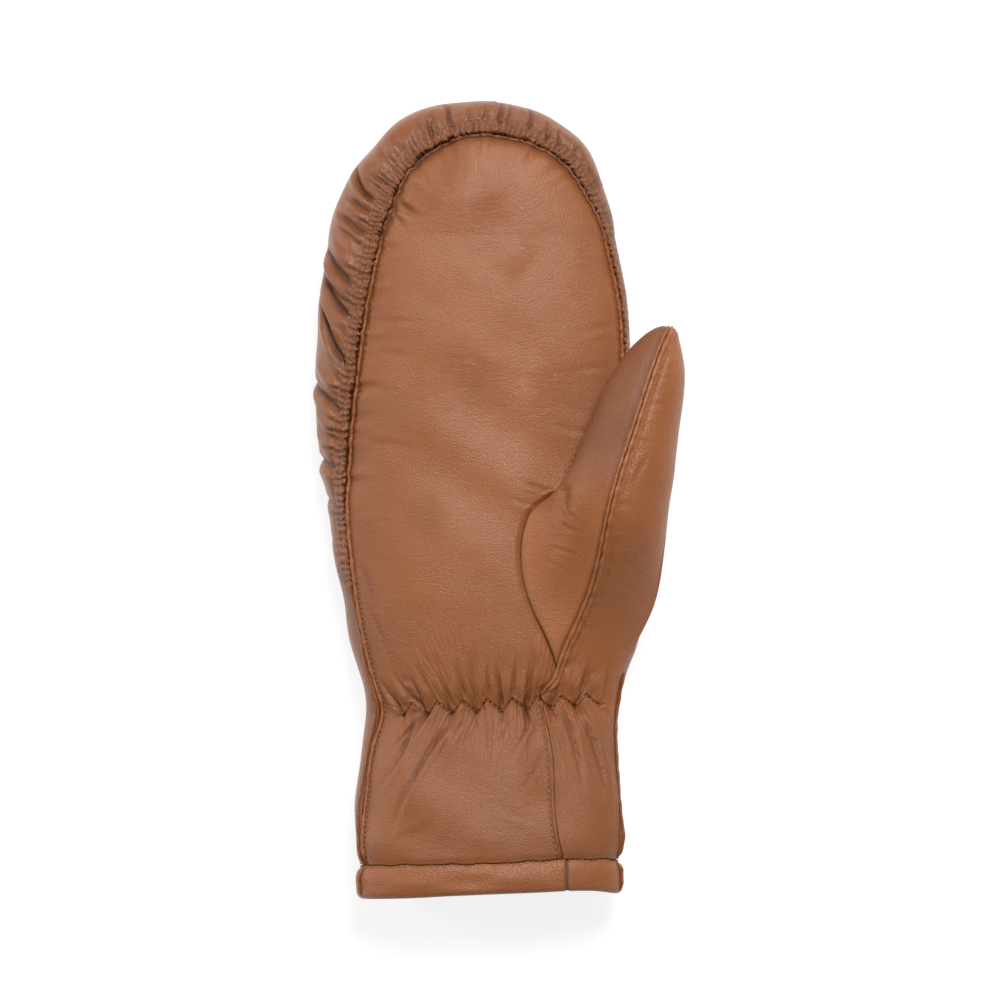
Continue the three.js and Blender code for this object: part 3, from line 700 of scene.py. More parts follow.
# %% The zigzag's line
ZIGZAG_PITCH = 0.0083
ZIGZAG_HEIGHT = 0.0042
ZIGZAG_PHASE = -0.0323
ZIGZAG_STEEP = 0.36
ZIGZAG_SLOPE = 0.045
ZIGZAG_NEAR = 0.013
ELASTIC_ROW = 0.2915
ELASTIC_Y = HEM_END + ELASTIC_ROW * BODY_LENGTH
ELASTIC_LEFT = -0.0355
ELASTIC_RIGHT = 0.034
FOLD_MIDDLE = 0.004
FOLD_SPREAD = 24.0
GATHER_REACH = 0.0085
RUFFLE_HEIGHT, RUFFLE_SINK = 0.0018, 0.0002
FOLD_DROP, FOLD_RISE = 0.0010, 0.0005
ELASTIC_PULL, ELASTIC_PULL_WIDTH = 0.0015, 0.005
GROOVE_DEPTH, GROOVE_WIDTH = 0.0007, 0.0005
FOLD_SWAY = 0.0007
OWN_SIZE = 0.3
FINE_FOLDS = 0.00022
LINES_ABOVE, LINES_BELOW = 0.016, 0.018
# Painted shade over the cuff below the elastic.
CUFF_SHADE = 0.12


def zigzag_phase(x):
    """0 at each low point of the zigzag, rising to 1 at the next."""
    return np.mod((x - ZIGZAG_PHASE) / ZIGZAG_PITCH, 1.0)


def elastic_fade(x):
    left = smoothstep(x, ELASTIC_LEFT - 0.003, ELASTIC_LEFT + 0.004)
    return left * (1 - smoothstep(x, ELASTIC_RIGHT - 0.004, ELASTIC_RIGHT + 0.004))


def zigzag_line(x):
    phase = zigzag_phase(x)
    tooth = np.where(phase < ZIGZAG_STEEP, phase / ZIGZAG_STEEP, (1 - phase) / (1 - ZIGZAG_STEEP))
    return ELASTIC_Y + elastic_fade(x) * (ZIGZAG_SLOPE * x + ZIGZAG_HEIGHT * (tooth - 0.5))


# %% Rows that follow the zigzag
def follow_zigzag(points, st, turn):
    """Rows near the elastic slide along the bag until one of them lies on the zigzag."""
    for side in (-1, 1):
        near = (np.abs(st.at - ELASTIC_ROW) * BODY_LENGTH < ZIGZAG_NEAR) & (st.side == side) & (st.fan == 0)
        rows = near[:, 0]
        at = st.at[rows]
        pull = 1 - smoothstep(np.abs(at - ELASTIC_ROW) * BODY_LENGTH, 0.25 * ZIGZAG_NEAR, ZIGZAG_NEAR)
        for _ in range(3):
            slide = pull * (zigzag_line(points[rows][..., 0]) - ELASTIC_Y)
            points[rows] = bag_point(row_stations(at + slide / BODY_LENGTH, side), turn[rows])
    return points


# %% Creases at the wrist
WRIST_CREASES = table(
    "x y to_x to_y bend depth wide",
    (-28.1, -68.5, -44.5, -100, 3.0, 1.0, 0.8),
    (-21.7, -69.5, -37.5, -86, -1.5, 0.8, 0.6),
    (-14.7, -71.7, -39, -119, -3.0, 1.0, 0.75),
    (-16.5, -75, -33, -108, -3.0, 0.6, 0.4),
    (-9.5, -70.5, -22, -92, -1.5, 0.6, 0.55),
    (-4.6, -69, -5.8, -95, 0.6, 0.65, 0.6),
    (2.0, -70, -0.5, -84, 0.5, 0.5, 0.5),
    (9.5, -70, 6.0, -83, 0.8, 0.45, 0.6),
    (15.5, -82, 1.5, -101, 1.2, 0.7, 0.6),
    (9.5, -74, -1.0, -92, 0.8, 0.4, 0.5),
    (21, -69, 28, -99, 1.0, 0.9, 1.0),
    (27, -70, 36.5, -108, 1.5, 0.9, 1.1),
    (-31.9, -70.5, -40.5, -57, 1.0, 0.8, 0.7),
    (-23.5, -70, -37, -53, 2.0, 0.8, 0.8),
    (-20.8, -66, -29.5, -50, 1.0, 0.6, 0.7),
    (-15.5, -69.5, -18.5, -55, 0.6, 0.7, 0.6),
    (-11.0, -66, -15.0, -48, 0.7, 0.6, 0.7),
    (-7.2, -69.5, -9.2, -44, 0.6, 0.6, 0.7),
    (-3.5, -65.5, -3.8, -50, 0.4, 0.5, 0.5),
    (1.2, -69.5, -1.2, -50, 0.5, 0.6, 0.7),
    (4.6, -65.5, 6.2, -49, 0.5, 0.5, 0.6),
    (9.0, -69.5, 11, -52, 0.5, 0.6, 0.7),
    (26, -65, 30, -50, -0.5, 0.7, 1.0),
    (34, -67, 36, -50, -0.5, 0.5, 0.9),
)


def fanned(x, away):
    """The crosswise place at the elastic that a fold through this place comes from."""
    return FOLD_MIDDLE + (x - FOLD_MIDDLE) / (1 + FOLD_SPREAD * np.abs(away))


def fan_and_pull(base):
    """Where fine wrinkles run and how much they show, most of all just above the elastic."""
    x, y, z = base[..., 0], base[..., 1], base[..., 2]
    away = y - ELASTIC_Y - ZIGZAG_SLOPE * x
    show = np.where(away > 0, np.exp(-away / LINES_ABOVE), 0.8 * np.exp(away / LINES_BELOW))
    ends = smoothstep(x, ELASTIC_LEFT - 0.003, ELASTIC_LEFT + 0.012) * (1 - smoothstep(x, 0.022, 0.04))
    return fanned(x, away), show * ends * (z > UPPER_SIDE * WRIST_DEPTH)


def elastic_relief(x, y):
    """How the elastic pulls and gathers the leather: its height, and painted shade in its groove, in its
    folds and over the cuff below it.
    """
    away = y - zigzag_line(x)
    fade = elastic_fade(x)
    warped = fanned(x, away)
    phase = zigzag_phase(warped + FOLD_SWAY * waves(y, (0.011, 0.019), 5))
    low = np.minimum(phase, 1 - phase)
    below = smoothstep(-away, -0.0001, 0.0005)
    own = 1 + OWN_SIZE * waves(warped, (0.019, 0.031), 6)
    ruffle = RUFFLE_HEIGHT * own * (1 - (2 * (0.5 - low)) ** 2.4) - RUFFLE_SINK
    fold = FOLD_RISE * bump(low - 0.3, 0.2) - FOLD_DROP * own * bump(low, 0.09)
    small = FINE_FOLDS * waves(warped, (0.0019, 0.0027, 0.0043), 11)
    reach_below = np.exp(-np.maximum(-away, 0) / GATHER_REACH)
    reach_above = np.exp(-np.maximum(away, 0) / GATHER_REACH)
    groove = bump(away, GROOVE_WIDTH)
    height = below * (ruffle + small) * reach_below + (1 - below) * (fold + small) * reach_above
    pull = -ELASTIC_PULL * bump(away, ELASTIC_PULL_WIDTH) - GROOVE_DEPTH * groove
    drawn, drawn_dark = hand_creases(WRIST_CREASES, x, y)
    # Painted shade in the elastic's groove and in the valleys of the folds beside it.
    painted_shade = 0.6 * groove + 0.8 * bump(low, 0.05) * np.where(below > 0.5, reach_below, reach_above)
    # Painted shade: the cuff below the elastic is painted darker.
    cuff = CUFF_SHADE * smoothstep(-away, 0, 0.004)
    return (height + pull) * fade + drawn, np.maximum(np.maximum(painted_shade * fade, 0.6 * drawn_dark), cuff)


x0 = np.linspace(ELASTIC_LEFT, ELASTIC_RIGHT, 9)
print("zigzag line, mm:", np.round(zigzag_line(x0) * 1000, 1))

# %% [markdown]
# The hem's stitches draw the leather in as well. Their line tilts and wanders a little, and the
# leather near it follows. Away from it the mitten rises and falls in slow hills.

# %% At the hem's stitches, and slow hills
HEM_LIFT = table(
    "x lift",
    (-0.047, -0.0014),
    (-0.03, -0.0008),
    (0.0, 0.0),
    (0.02, 0.0011),
    (0.03, 0.001),
    (0.047, 0.0003),
)
HEM_WANDER = 0.00016
HEM_LIFT_REACH = 0.02
HEM_PULL = 0.0005, 0.0009
HEM_PULL_WIDTH = 0.0012, 0.0022
HILLS, THUMB_HILLS = 0.0006, 0.0003


def at_hem_ends(x):
    """0 along the hem, and 1 at its two ends."""
    return smoothstep(np.abs(x + HEM_SHIFT), 0.036, 0.043)


def above_hem(y):
    return y - HEM_END - HEM_WIDTH


def hem_pull(x, y):
    """The hem's stitches draw the leather in, most of all at its two ends."""
    ends = at_hem_ends(x)
    return -mix(*HEM_PULL, ends) * bump(above_hem(y), mix(*HEM_PULL_WIDTH, ends))


def hem_lift(x, y):
    """How far the hem's stitched line wanders up and down, and the leather near it."""
    near = 1 - smoothstep(above_hem(y), 0, HEM_LIFT_REACH)
    return near * (along(HEM_LIFT, "lift", x) + HEM_WANDER * waves(x, (0.0083, 0.0131), 57))


def placed(base, height):
    """A grid with its relief, and with its lower end on the hem's line."""
    points = raised(base, height)
    points[..., 1] += hem_lift(base[..., 0], base[..., 1])
    return points


def soft_folds(x, y, seed, size):
    """Slow hills of soft leather, which lies still at the hem's stitches."""
    size = size * smoothstep(np.abs(above_hem(y)), 0.0005, 0.009)
    broad = waves(x + 0.4 * y, (0.031, 0.047), seed) * waves(y - 0.2 * x, (0.039, 0.058), seed + 1)
    return size * broad


# %% [markdown]
# ## The palm
#
# The palm is one smooth piece. Its grid has rows of stations up one side of the hand, round the
# fingertips and down the other side, and steps from the spine out to its seam, closer together
# towards the seam. Where it is sewn to the border it dips, and along the thumb's curved seam its edge
# turns down into the stitching.


# %% Rows of the palm
def spaced(*stretches):
    """Places along the body: each stretch is (from, to, count)."""
    parts = [np.linspace(a, b, n, endpoint=False) for a, b, n in stretches]
    return np.concatenate([*parts, [stretches[-1][1]]])


def seam_points(rows, count):
    """Points evenly spaced along a seam, as (at, out)."""
    dense = np.linspace(0, 1, 400)
    keys = np.linspace(0, 1, len(rows["at"]))
    line = {"key": keys, **rows}
    at, out = along(line, "at", dense), along(line, "out", dense)
    flat = np.stack([at * BODY_LENGTH, out * HAND_WIDTH / 2], axis=-1)
    length = length_so_far(flat)
    even = np.linspace(0, length[-1], count + 1)
    return np.stack([np.interp(even, length, at), np.interp(even, length, out)], axis=-1)


GUSSET_ROWS = 66
CROTCH_ROWS = 14
gusset = seam_points(GUSSET_SEAM, GUSSET_ROWS)
crotch = seam_points(CROTCH_SEAM, CROTCH_ROWS)
set_in = np.concatenate([gusset, crotch[1:]])
FAN_TURNS = np.linspace(180, 0, 123)[1:-1]
HEM_ROWS = (HEM_LINE, 0.075, 8)
CUFF_ROWS = spaced(
    HEM_ROWS, (0.075, 0.235, 26), (0.235, 0.279, 20), (0.279, 0.2865, 10),
    (0.2865, 0.2965, 14), (0.2965, 0.304, 10), (0.304, HEEL_AT, 18))


def palm_edge(st):
    """Where the palm ends at a station, as a share of the way to the rim."""
    plain = (st.side < 0) | (st.fan > 0) | (st.at > CROTCH_AT + 1e-9)
    cuff = along(CUFF_FRONT_SEAM, "out", np.minimum(st.at, HEEL_AT))
    thumb = np.interp(st.at, set_in[:, 0], set_in[:, 1])
    return np.where(plain, st.seam, np.where(st.at <= HEEL_AT + 1e-9, cuff, thumb))


def border_fullness(st):
    return smoothstep((1 - st.seam) * st.reach, 0.003, 0.009)


# %% Palm grid
PALM_STEPS = 74
CLOSER_AT_SEAM = 1.22
rows_at = np.concatenate([CUFF_ROWS[:-1], set_in[:, 0], spaced((CROTCH_AT, 1.0, 70))[1:]])
palm_stations = joined(
    row_stations(rows_at, -1), fan_stations(FAN_TURNS), row_stations(rows_at[::-1], 1))
edge = palm_edge(palm_stations)
step = np.linspace(0, 1, PALM_STEPS + 1)[None, :]
palm_turn = turn_of(edge) * (1 - (1 - step) ** CLOSER_AT_SEAM)
palm_base = follow_zigzag(bag_point(palm_stations, palm_turn), palm_stations, palm_turn)
to_edge = lengths_across(palm_base)
to_edge = to_edge[:, -1:] - to_edge
on_border = (palm_stations.side < 0) | (palm_stations.fan > 0) | (palm_stations.at > CROTCH_AT)
print("palm grid:", palm_base.shape[:2])

# %% Palm relief
PALM_DIP = 0.0019
PALM_DIP_WIDTH = 0.0030
PALM_HOLLOW = 0.0009
PALM_PUCKER = 0.00035
TURN_DOWN = 0.0008
ROUND_DOWN = 0.0014
STITCH_IN = 0.0021
# How strong the painted shade is on the palm beside the thumb and along its outer side, and how far it
# reaches.
THUMB_SHADE, THUMB_SHADE_WIDTH = 0.4, 0.014
SIDE_SHADE, SIDE_SHADE_WIDTH = 0.16, 0.018
PALM_CREASES = table(
    "x y to_x to_y bend depth wide",
    (-34.5, 101, -25, 92.5, -1.0, 0.9, 1.3),
    (-36, 97, -30, 88, -0.5, 0.5, 0.8),
    (-46.5, 59.5, -22, 57.5, 1.0, 0.35, 0.7),
    (-47, 51.5, -25, 48, -1.0, 0.25, 0.8),
    (-49, 38, -33, 35.5, 0.5, 0.3, 0.7),
    (-50, 20, -22, 15, 1.0, 0.3, 0.9),
    (38, 44, 14, 40, -1.0, 0.3, 0.8),
    (40, 60, 22, 55, 1.0, 0.3, 0.8),
    (33, 22, 12, 27, 1.0, 0.35, 0.9),
    (18, 3.0, 4, 8, 0.8, 0.45, 0.8),
    (14, -1.5, 1, 1, 0.6, 0.35, 0.7),
    (-47, -20, -42, -45, 1.5, 0.5, 1.2),
    (-44, -35, -36, -58, 1.0, 0.45, 1.0),
    (12, -106, -4, -99, 1.0, 0.35, 0.9),
    (-36, -112, -18, -104, -1.0, 0.35, 0.9),
)


def palm_relief(base, st, to_edge, on_border):
    x, y = base[..., 0], base[..., 1]
    full = border_fullness(st)
    elastic, painted_shade = elastic_relief(x, y)
    drawn, drawn_dark = hand_creases(PALM_CREASES, x, y)
    dip = PALM_DIP * mix(0.4, 1, full) * bump(to_edge, PALM_DIP_WIDTH)
    hollow = PALM_HOLLOW * full * bump(to_edge - 0.004, 0.007)
    turned = TURN_DOWN * bump(to_edge, ROUND_DOWN)
    pucker = waves(length_so_far(base[:, -1])[:, None], (0.0052, 0.0079, 0.0113), 21)
    pucker = PALM_PUCKER * pucker * full * bump(to_edge - 0.003, 0.0055)
    height = elastic + drawn + hem_pull(x, y) + soft_folds(x, y, 31, HILLS)
    height = height + np.where(on_border, pucker - dip - hollow, -turned)
    gathered = on_border & (st.at > GATHERS_FROM)
    # Painted shade along the palm's edge under the border's overhanging lip, and a thin line of it at its
    # plain seams.
    seam_painted_shade = np.where(gathered, full * bump(to_edge, 0.0024), 0.8 * bump(to_edge, 0.0005))
    plain_seam = on_border & (st.at < GATHERS_FROM) | ~on_border & (st.at < ELASTIC_ROW - 0.01)
    # Painted shade along the sunk row of stitches.
    stitched = 0.7 * bump(to_edge - STITCH_IN, 0.00035) * plain_seam
    # Painted shade on the palm beside the thumb and along its outer side.
    by_thumb = smoothstep(st.at, 0.6, 0.66) * (1 - smoothstep(st.at, 0.74, 0.86))
    by_thumb = by_thumb * (st.side > 0) * (st.fan == 0) * THUMB_SHADE * bump(to_edge, THUMB_SHADE_WIDTH)
    outer_side = SIDE_SHADE * (st.side < 0) * bump(to_edge, SIDE_SHADE_WIDTH)
    # All of these are painted shade, and the darkest one is kept.
    creases = [painted_shade, 0.9 * seam_painted_shade, 0.5 * drawn_dark, stitched, by_thumb, outer_side]
    return height, np.max(creases, axis=0)


palm_height, palm_painted_shade = palm_relief(palm_base, palm_stations, to_edge, on_border)
palm_points = placed(palm_base, palm_height)
palm_patch = palm_points, palm_painted_shade, *fan_and_pull(palm_base)
leather_sheet("palm", [palm_patch], palm_leather, "palm_panel")

# %% [markdown]
# ## The back and its gathered border
#
# The back is cut much longer than the palm. It is gathered where it wraps over the fingertips and the
# hand's outer edge, so it lies there in folds: small tight pleats in the sewn band beside the seam,
# and larger folds that run out of it over the rim. On the outer side these lean far over towards the
# fingertips, and at the tips they stand straight out.

# %% Border layout
BAND = 0.0046
LIP_ROW = 0.0013


def border_length(st):
    """Length along the border from where its gathers start."""
    side = (1 - GATHERS_FROM) * BODY_LENGTH
    up = (st.at - GATHERS_FROM) * BODY_LENGTH
    over = side + np.radians(180 - st.fan) * TIP_LENGTH
    down = side + math.pi * TIP_LENGTH + (1 - st.at) * BODY_LENGTH
    return np.where(st.fan > 0, over, np.where(st.side < 0, up, down))


BACK_TURNS = np.linspace(180, 0, 301)[1:-1]
plain_to = GATHERS_FROM - 0.03
left_rows = spaced(HEM_ROWS, (0.075, plain_to, 62), (plain_to, 1.0, 300))
right_rows = spaced(HEM_ROWS, (0.075, 0.6, 78), (0.6, 1.0, 150))
back_stations = joined(
    row_stations(left_rows, -1), fan_stations(BACK_TURNS), row_stations(right_rows[::-1], 1))
BORDER_STEPS, SIDE_STEPS, UNDER_STEPS = 30, 11, 9
RIM_TURN = math.pi / 2
UNDER_TURN = RIM_TURN + 0.9
start = turn_of(back_stations.seam)
down_steps = np.linspace(0, 1, BORDER_STEPS + 1)[None, :] ** 1.1
back_turn = np.concatenate([
    mix(start, RIM_TURN, down_steps),
    mix(RIM_TURN, UNDER_TURN, np.linspace(0, 1, SIDE_STEPS + 1)[None, 1:]) + 0 * start,
    mix(UNDER_TURN, math.pi, np.linspace(0, 1, UNDER_STEPS + 1)[None, 1:]) + 0 * start,
], axis=1)
back_base = bag_point(back_stations, back_turn)
from_seam = lengths_across(back_base)
widest = float(from_seam[:, BORDER_STEPS].max())
print("back grid:", back_base.shape[:2], "widest border", round(widest, 4))

# %% [markdown]
# The folds are drawn one by one too. `at` is where a fold's valley leaves the sewn band, by the
# length along the border, and `lean` is how far it runs towards the fingertips for each millimetre
# outwards. Between them, seeded chance sets about 150 small pleats, each with its own depth and
# reach: they all start at the lip, and few get far past the second row of stitches.

# %% Folds of the border
FOLDS = table(
    "at lean depth wide start far",
    (14, 0.1, 0.8, 1.3, 0, 16),
    (26.5, 0.2, 1.3, 1.5, 1, 30),
    (33, 0.25, -0.2, 2.4, 4, 30),
    (39, 0.25, 1.5, 1.7, 2, 30),
    (45.5, 0.4, -0.5, 2.2, 3, 18),
    (51.5, 0.58, -1.0, 1.6, 2, 16),
    (58.8, 0.56, 1.7, 1.5, 2, 30),
    (65, 0.7, -0.8, 1.9, 3, 20),
    (74.5, 1.45, 2.3, 1.7, 2, 19),
    (80.5, 1.2, -1.0, 1.6, 5, 22),
    (88.8, 0.97, 2.0, 1.5, 3, 22),
    (94, 0.9, -0.8, 1.3, 5, 20),
    (98.9, 0.8, 2.1, 1.5, 4, 25),
    (104.5, 0.8, -0.8, 1.5, 5, 20),
    (112, 0.7, 0.9, 1.1, 3, 16),
    (116.2, 0.67, 1.5, 1.2, 3, 19),
    (121.5, 0.6, -0.6, 1.4, 4, 16),
    (125.6, 0.44, 1.2, 1.0, 3, 17),
    (130.5, 0.75, 1.9, 1.2, 4, 22),
    (136, 0.5, -0.5, 1.5, 4, 15),
    (141.3, 0.1, 0.9, 0.9, 2, 13),
    (149, 0.2, 0.5, 1.2, 4, 16),
    (157, 0.1, 0.7, 1.0, 2, 12),
    (163.5, 0.05, 0.6, 0.8, 2, 10),
    (170.5, 0.0, 1.2, 0.8, 1, 11),
    (178.3, -0.16, 1.3, 0.9, 1, 15),
    (184.5, -0.1, 0.6, 0.7, 1, 9),
    (190, -0.1, 0.6, 0.7, 1, 10),
    (195.4, -0.12, 1.0, 0.6, 1, 17),
    (198.6, -0.16, 0.7, 0.5, 1, 14),
    (206.2, -0.33, 1.0, 0.7, 1, 14),
    (212.2, -0.47, 0.9, 0.7, 1, 10),
    (217.1, -0.63, 0.8, 0.7, 1, 9),
    (224, -0.6, 0.6, 0.7, 1, 9),
    (233, -0.5, 0.5, 0.7, 1, 8),
)
PLEAT_FROM, PLEAT_TO = -0.004, 0.306
PLEATS_FADE = 0.290
PLEAT_PITCH = 0.0022
PLEAT_DEPTH = 0.00042
PLEAT_WIDTH = 0.00042


def small_pleats(length, out):
    """Many narrow valleys that start at the lip, each with its own depth, width and reach."""
    chance = random.Random(17)
    height, dark = np.zeros_like(out), np.zeros_like(out)
    at = PLEAT_FROM
    while at < PLEAT_TO:
        at += PLEAT_PITCH * (0.7 + 0.6 * chance.random())
        depth = PLEAT_DEPTH * (0.6 + 0.8 * chance.random())
        far = 0.0036 + 0.0075 * chance.random() ** 3
        lean = float(np.interp(at, FOLDS["at"] / 1000, FOLDS["lean"]))
        bend = lean * (0.5 + 0.5 * chance.random())
        rows = np.abs(length[:, 0] - at) < 0.014
        s = length[rows] - at - bend * np.maximum(out[rows] - 0.0025, 0)
        valley = bump(s, PLEAT_WIDTH + 0.05 * out[rows])
        valley = valley * (1 - smoothstep(out[rows], 0.6 * far, 1.25 * far))
        height[rows] += depth * (0.45 * bump(np.abs(s) - 0.0011, 0.0006) * (out[rows] < far) - valley)
        # Painted shade in each pleat's valley.
        dark[rows] = np.maximum(dark[rows], valley * depth / 0.00055)
    return height, dark


def big_folds(length, out):
    """The drawn folds, valleys and puffs."""
    height, dark = np.zeros_like(out), np.zeros_like(out)
    for at, lean, depth, wide, start, far in zip(*FOLDS.values()):
        past = np.maximum(out * 1000 - 2.5, 0)
        s = length * 1000 - at - lean * (past - 2.5) + 0.35 * waves(out, (0.009, 0.014), int(at * 10))
        there = smoothstep(out * 1000, start, start + 3.5) * (1 - smoothstep(out * 1000, 0.65 * far, far))
        valley = bump(s, wide)
        height += depth * there * (0.5 * bump(s + 2.1 * wide, 1.5 * wide) - valley)
        # Painted shade in each fold's valley.
        dark = np.maximum(dark, there * bump(s, 0.6 * wide) * depth / 2.2)
    return height / 1000, dark


# %% Border relief
PUFF = 0.0007
LIP = 0.0006
LIP_CRINKLE = 0.00048
ROW_DEPTH = 0.0003
SLOW_HILLS = 0.0004


def gathers_end(length):
    """1 along the gathers, and 0 past their end by the thumb."""
    return 1 - smoothstep(length, PLEATS_FADE, PLEAT_TO)


def border_relief(st, turn, out):
    """Height of the back, and painted shade in its folds, pleats and stitch rows, by the length out from
    its seam.
    """
    length = border_length(st)
    full = border_fullness(st)
    started = smoothstep(length, -0.005, 0.006)
    ended = gathers_end(length)
    under = 1 - smoothstep(turn, RIM_TURN + 0.15, RIM_TURN + 1.1)
    pleats, pleat_dark = small_pleats(length, out)
    folds, fold_dark = big_folds(length, out)
    near_rim = smoothstep(turn, 1.1, 1.5)
    puff = PUFF * smoothstep(out, 0.8 * BAND, 1.7 * BAND) * (1 - near_rim) * full
    rows = bump(out - LIP_ROW, 0.0005) + bump(out - BAND, 0.0006)
    lip = LIP * bump(out, 0.0009) * (1 + 0.35 * waves(length, (0.0031, 0.0023), 9))
    slow = waves(length - 0.5 * out, (0.017, 0.029, 0.041), 12) * smoothstep(out, 0.004, 0.012)
    slow = SLOW_HILLS * slow * (1 - 0.7 * near_rim)
    there = started * under
    height = there * (full * folds + mix(0.55, 1, full) * ended * pleats + slow * full)
    height = height + full * (puff + lip - ROW_DEPTH * rows * started)
    # Painted shade in the folds, in the pleats and along the sunk stitch rows.
    dark = np.max([1.3 * fold_dark * full, 0.8 * pleat_dark * ended, 0.45 * rows * full], axis=0)
    return height, there * dark


back_height, back_painted_shade = border_relief(back_stations, back_turn, from_seam)
back_x, back_y, back_z = np.moveaxis(back_base, -1, 0)
low_side = soft_folds(back_x + back_z, back_y, 37, HILLS)
back_points = placed(back_base, back_height + hem_pull(back_x, back_y) + low_side)
lip_length = border_length(back_stations)
crinkle = LIP_CRINKLE * waves(lip_length, (0.0026, 0.0019), 23) * smoothstep(lip_length, -0.003, 0.01)
crinkle = crinkle * gathers_end(lip_length) * bump(from_seam, 0.0012)
back_points += crinkle[..., None] * unit(np.gradient(back_points, axis=1))
back_points[..., 2] = np.maximum(back_points[..., 2], 0)
leather_sheet("back", [(back_points, back_painted_shade)], back_leather, "back_panel")

# %% [markdown]
# ## The thumb
#
# The thumb is a tapering tube that leans away from the fingers, sewn from two halves. Each line of
# its grid leaves a seam on the hand, curves onto the thumb's base ring and runs on to the tip.

# %% Thumb rings
THUMB_RINGS = table(
    "up wide deep aside",
    (0.0, 1.0, 1.0, 0.0),
    (0.112, 0.945, 0.965, 0.0),
    (0.3, 0.89, 0.92, 0.0),
    (0.448, 0.828, 0.87, 0.0),
    (0.597, 0.73, 0.78, 0.002),
    (0.746, 0.597, 0.64, 0.008),
    (0.858, 0.42, 0.46, 0.025),
    (0.933, 0.275, 0.31, 0.04),
    (0.98, 0.15, 0.17, 0.06),
    (1.0, 0.0, 0.0, 0.07),
)
THUMB_BASE_AT = 0.66
THUMB_BASE_IN = 0.06
THUMB_HEIGHT = 0.7 * HAND_DEPTH + THUMB_CLEARANCE + THUMB_DEPTH / 2
THUMB_SAG = 0.05 * THUMB_DEPTH
FRONT_SWELL = 0.5
BULB_FULLNESS = 1.3
FRONT_BOW = 0.0022
FRONT_TURN_BASE, FRONT_TURN_TIP = 94, 88
REAR_TURN = 270
LEFT_TURN = 180
SMALL_STEP = 0.002


def thumb_point(up, turn):
    """A point of the free thumb: up is 0 at its base ring and 1 at its tip."""
    base = row_stations([THUMB_BASE_AT], 1)
    angle = np.radians(turn)
    across = along(THUMB_RINGS, "aside", up) * THUMB_WIDTH
    across = across + np.maximum(along(THUMB_RINGS, "wide", up), 0) * THUMB_WIDTH / 2 * np.cos(angle)
    length = up * THUMB_LENGTH
    base_x = float((base.x + base.reach).item()) - THUMB_BASE_IN * THUMB_WIDTH
    deep = np.maximum(along(THUMB_RINGS, "deep", up), 0) * THUMB_DEPTH / 2 * np.sin(angle)
    return np.stack([
        base_x + math.sin(THUMB_LEAN) * length + math.cos(THUMB_LEAN) * across,
        float(base.y.item()) + math.cos(THUMB_LEAN) * length - math.sin(THUMB_LEAN) * across,
        THUMB_HEIGHT - THUMB_SAG * up * up + deep,
    ], axis=-1)


def front_turn(up):
    return mix(FRONT_TURN_BASE, FRONT_TURN_TIP, up)


# %% Thumb lines
BULB_STEPS = 70
FREE_STEPS = 80


def thumb_grid(at, turns, turn_at, flush, least, swell, bow, turning):
    """Lines from places on the hand onto the thumb. turn_at(up) gives each line's place round it."""
    st = row_stations(at, 1)
    turns = np.asarray(turns, float)[:, None]
    start = bag_point(st, turns)[:, 0]
    on = bag_point(row_stations(np.asarray(at) + SMALL_STEP, 1), turns)[:, 0] - start
    around = bag_point(st, turns + SMALL_STEP)[:, 0] - start
    out = unit(np.cross(around, on))
    follow = np.concatenate([start[1:], start[-1:]]) - np.concatenate([start[:1], start[:-1]])
    own = unit(np.cross(follow, out) * turning)
    leave = unit(thumb_point(np.zeros(len(start)), turn_at(0.0)) - start)
    leave = unit(leave - out * (np.sum(leave * out, axis=-1) * flush)[:, None])
    lack = np.maximum(least - np.sum(leave * own, axis=-1), 0) * (least > 0)
    leave = unit(leave + own * lack[:, None])
    ring = thumb_point(np.zeros(len(start)), turn_at(0.0))
    reach = np.linalg.norm(ring - start, axis=-1, keepdims=True) * BULB_FULLNESS
    further = thumb_point(np.full(len(start), SMALL_STEP), turn_at(SMALL_STEP))
    arrive = unit(further - ring) * reach
    u = np.linspace(0, 1, BULB_STEPS + 1)[None, :, None]
    line = curve(start[:, None], (leave * reach)[:, None], ring[:, None], arrive[:, None], u)
    u = u[..., 0]
    fall = SWELL_RISE * (1 - SWELL_AT) / SWELL_AT
    line[..., 0] += swell[:, None] * (u / SWELL_AT) ** SWELL_RISE * ((1 - u) / (1 - SWELL_AT)) ** fall
    line[..., 0] += bow[:, None] * (4 * u * (1 - u)) ** 2
    free = 1 - (1 - np.linspace(0, 1, FREE_STEPS + 1)[1:]) ** 1.5
    rings = np.stack([thumb_point(np.full(len(start), up), turn_at(up)) for up in free], axis=1)
    return np.concatenate([line, rings], axis=1)


# %% Inner half of the thumb
share = np.arange(GUSSET_ROWS + 1) / GUSSET_ROWS
under_share = np.arange(1, CROTCH_ROWS + 1) / CROTCH_ROWS
in_front = np.concatenate([np.ones(GUSSET_ROWS + 1, bool), np.zeros(CROTCH_ROWS, bool)])
inner_share = np.concatenate([share, under_share])


def inner_turn(up):
    front = mix(front_turn(up), LEFT_TURN, inner_share)
    return np.where(in_front, front, mix(LEFT_TURN, REAR_TURN, inner_share))


first_rows = smoothstep(np.arange(len(set_in)), 0, 8)
inner_flush = np.where(in_front, 1 - 0.5 * smoothstep(inner_share, 0.8, 1), 0)
inner_least = np.where(in_front, 0.35, 0.1) * first_rows
inner_least[-1] = 0
inner_swell = np.where(in_front, THUMB_SWELL * FRONT_SWELL * (1 - inner_share), 0)
inner_bow = np.where(in_front, FRONT_BOW * (1 - inner_share) ** 2, 0)
inner_base = thumb_grid(
    set_in[:, 0], turn_of(set_in[:, 1]), inner_turn,
    inner_flush, inner_least, inner_swell, inner_bow, 1)[::-1]
print("inner thumb grid:", inner_base.shape[:2])

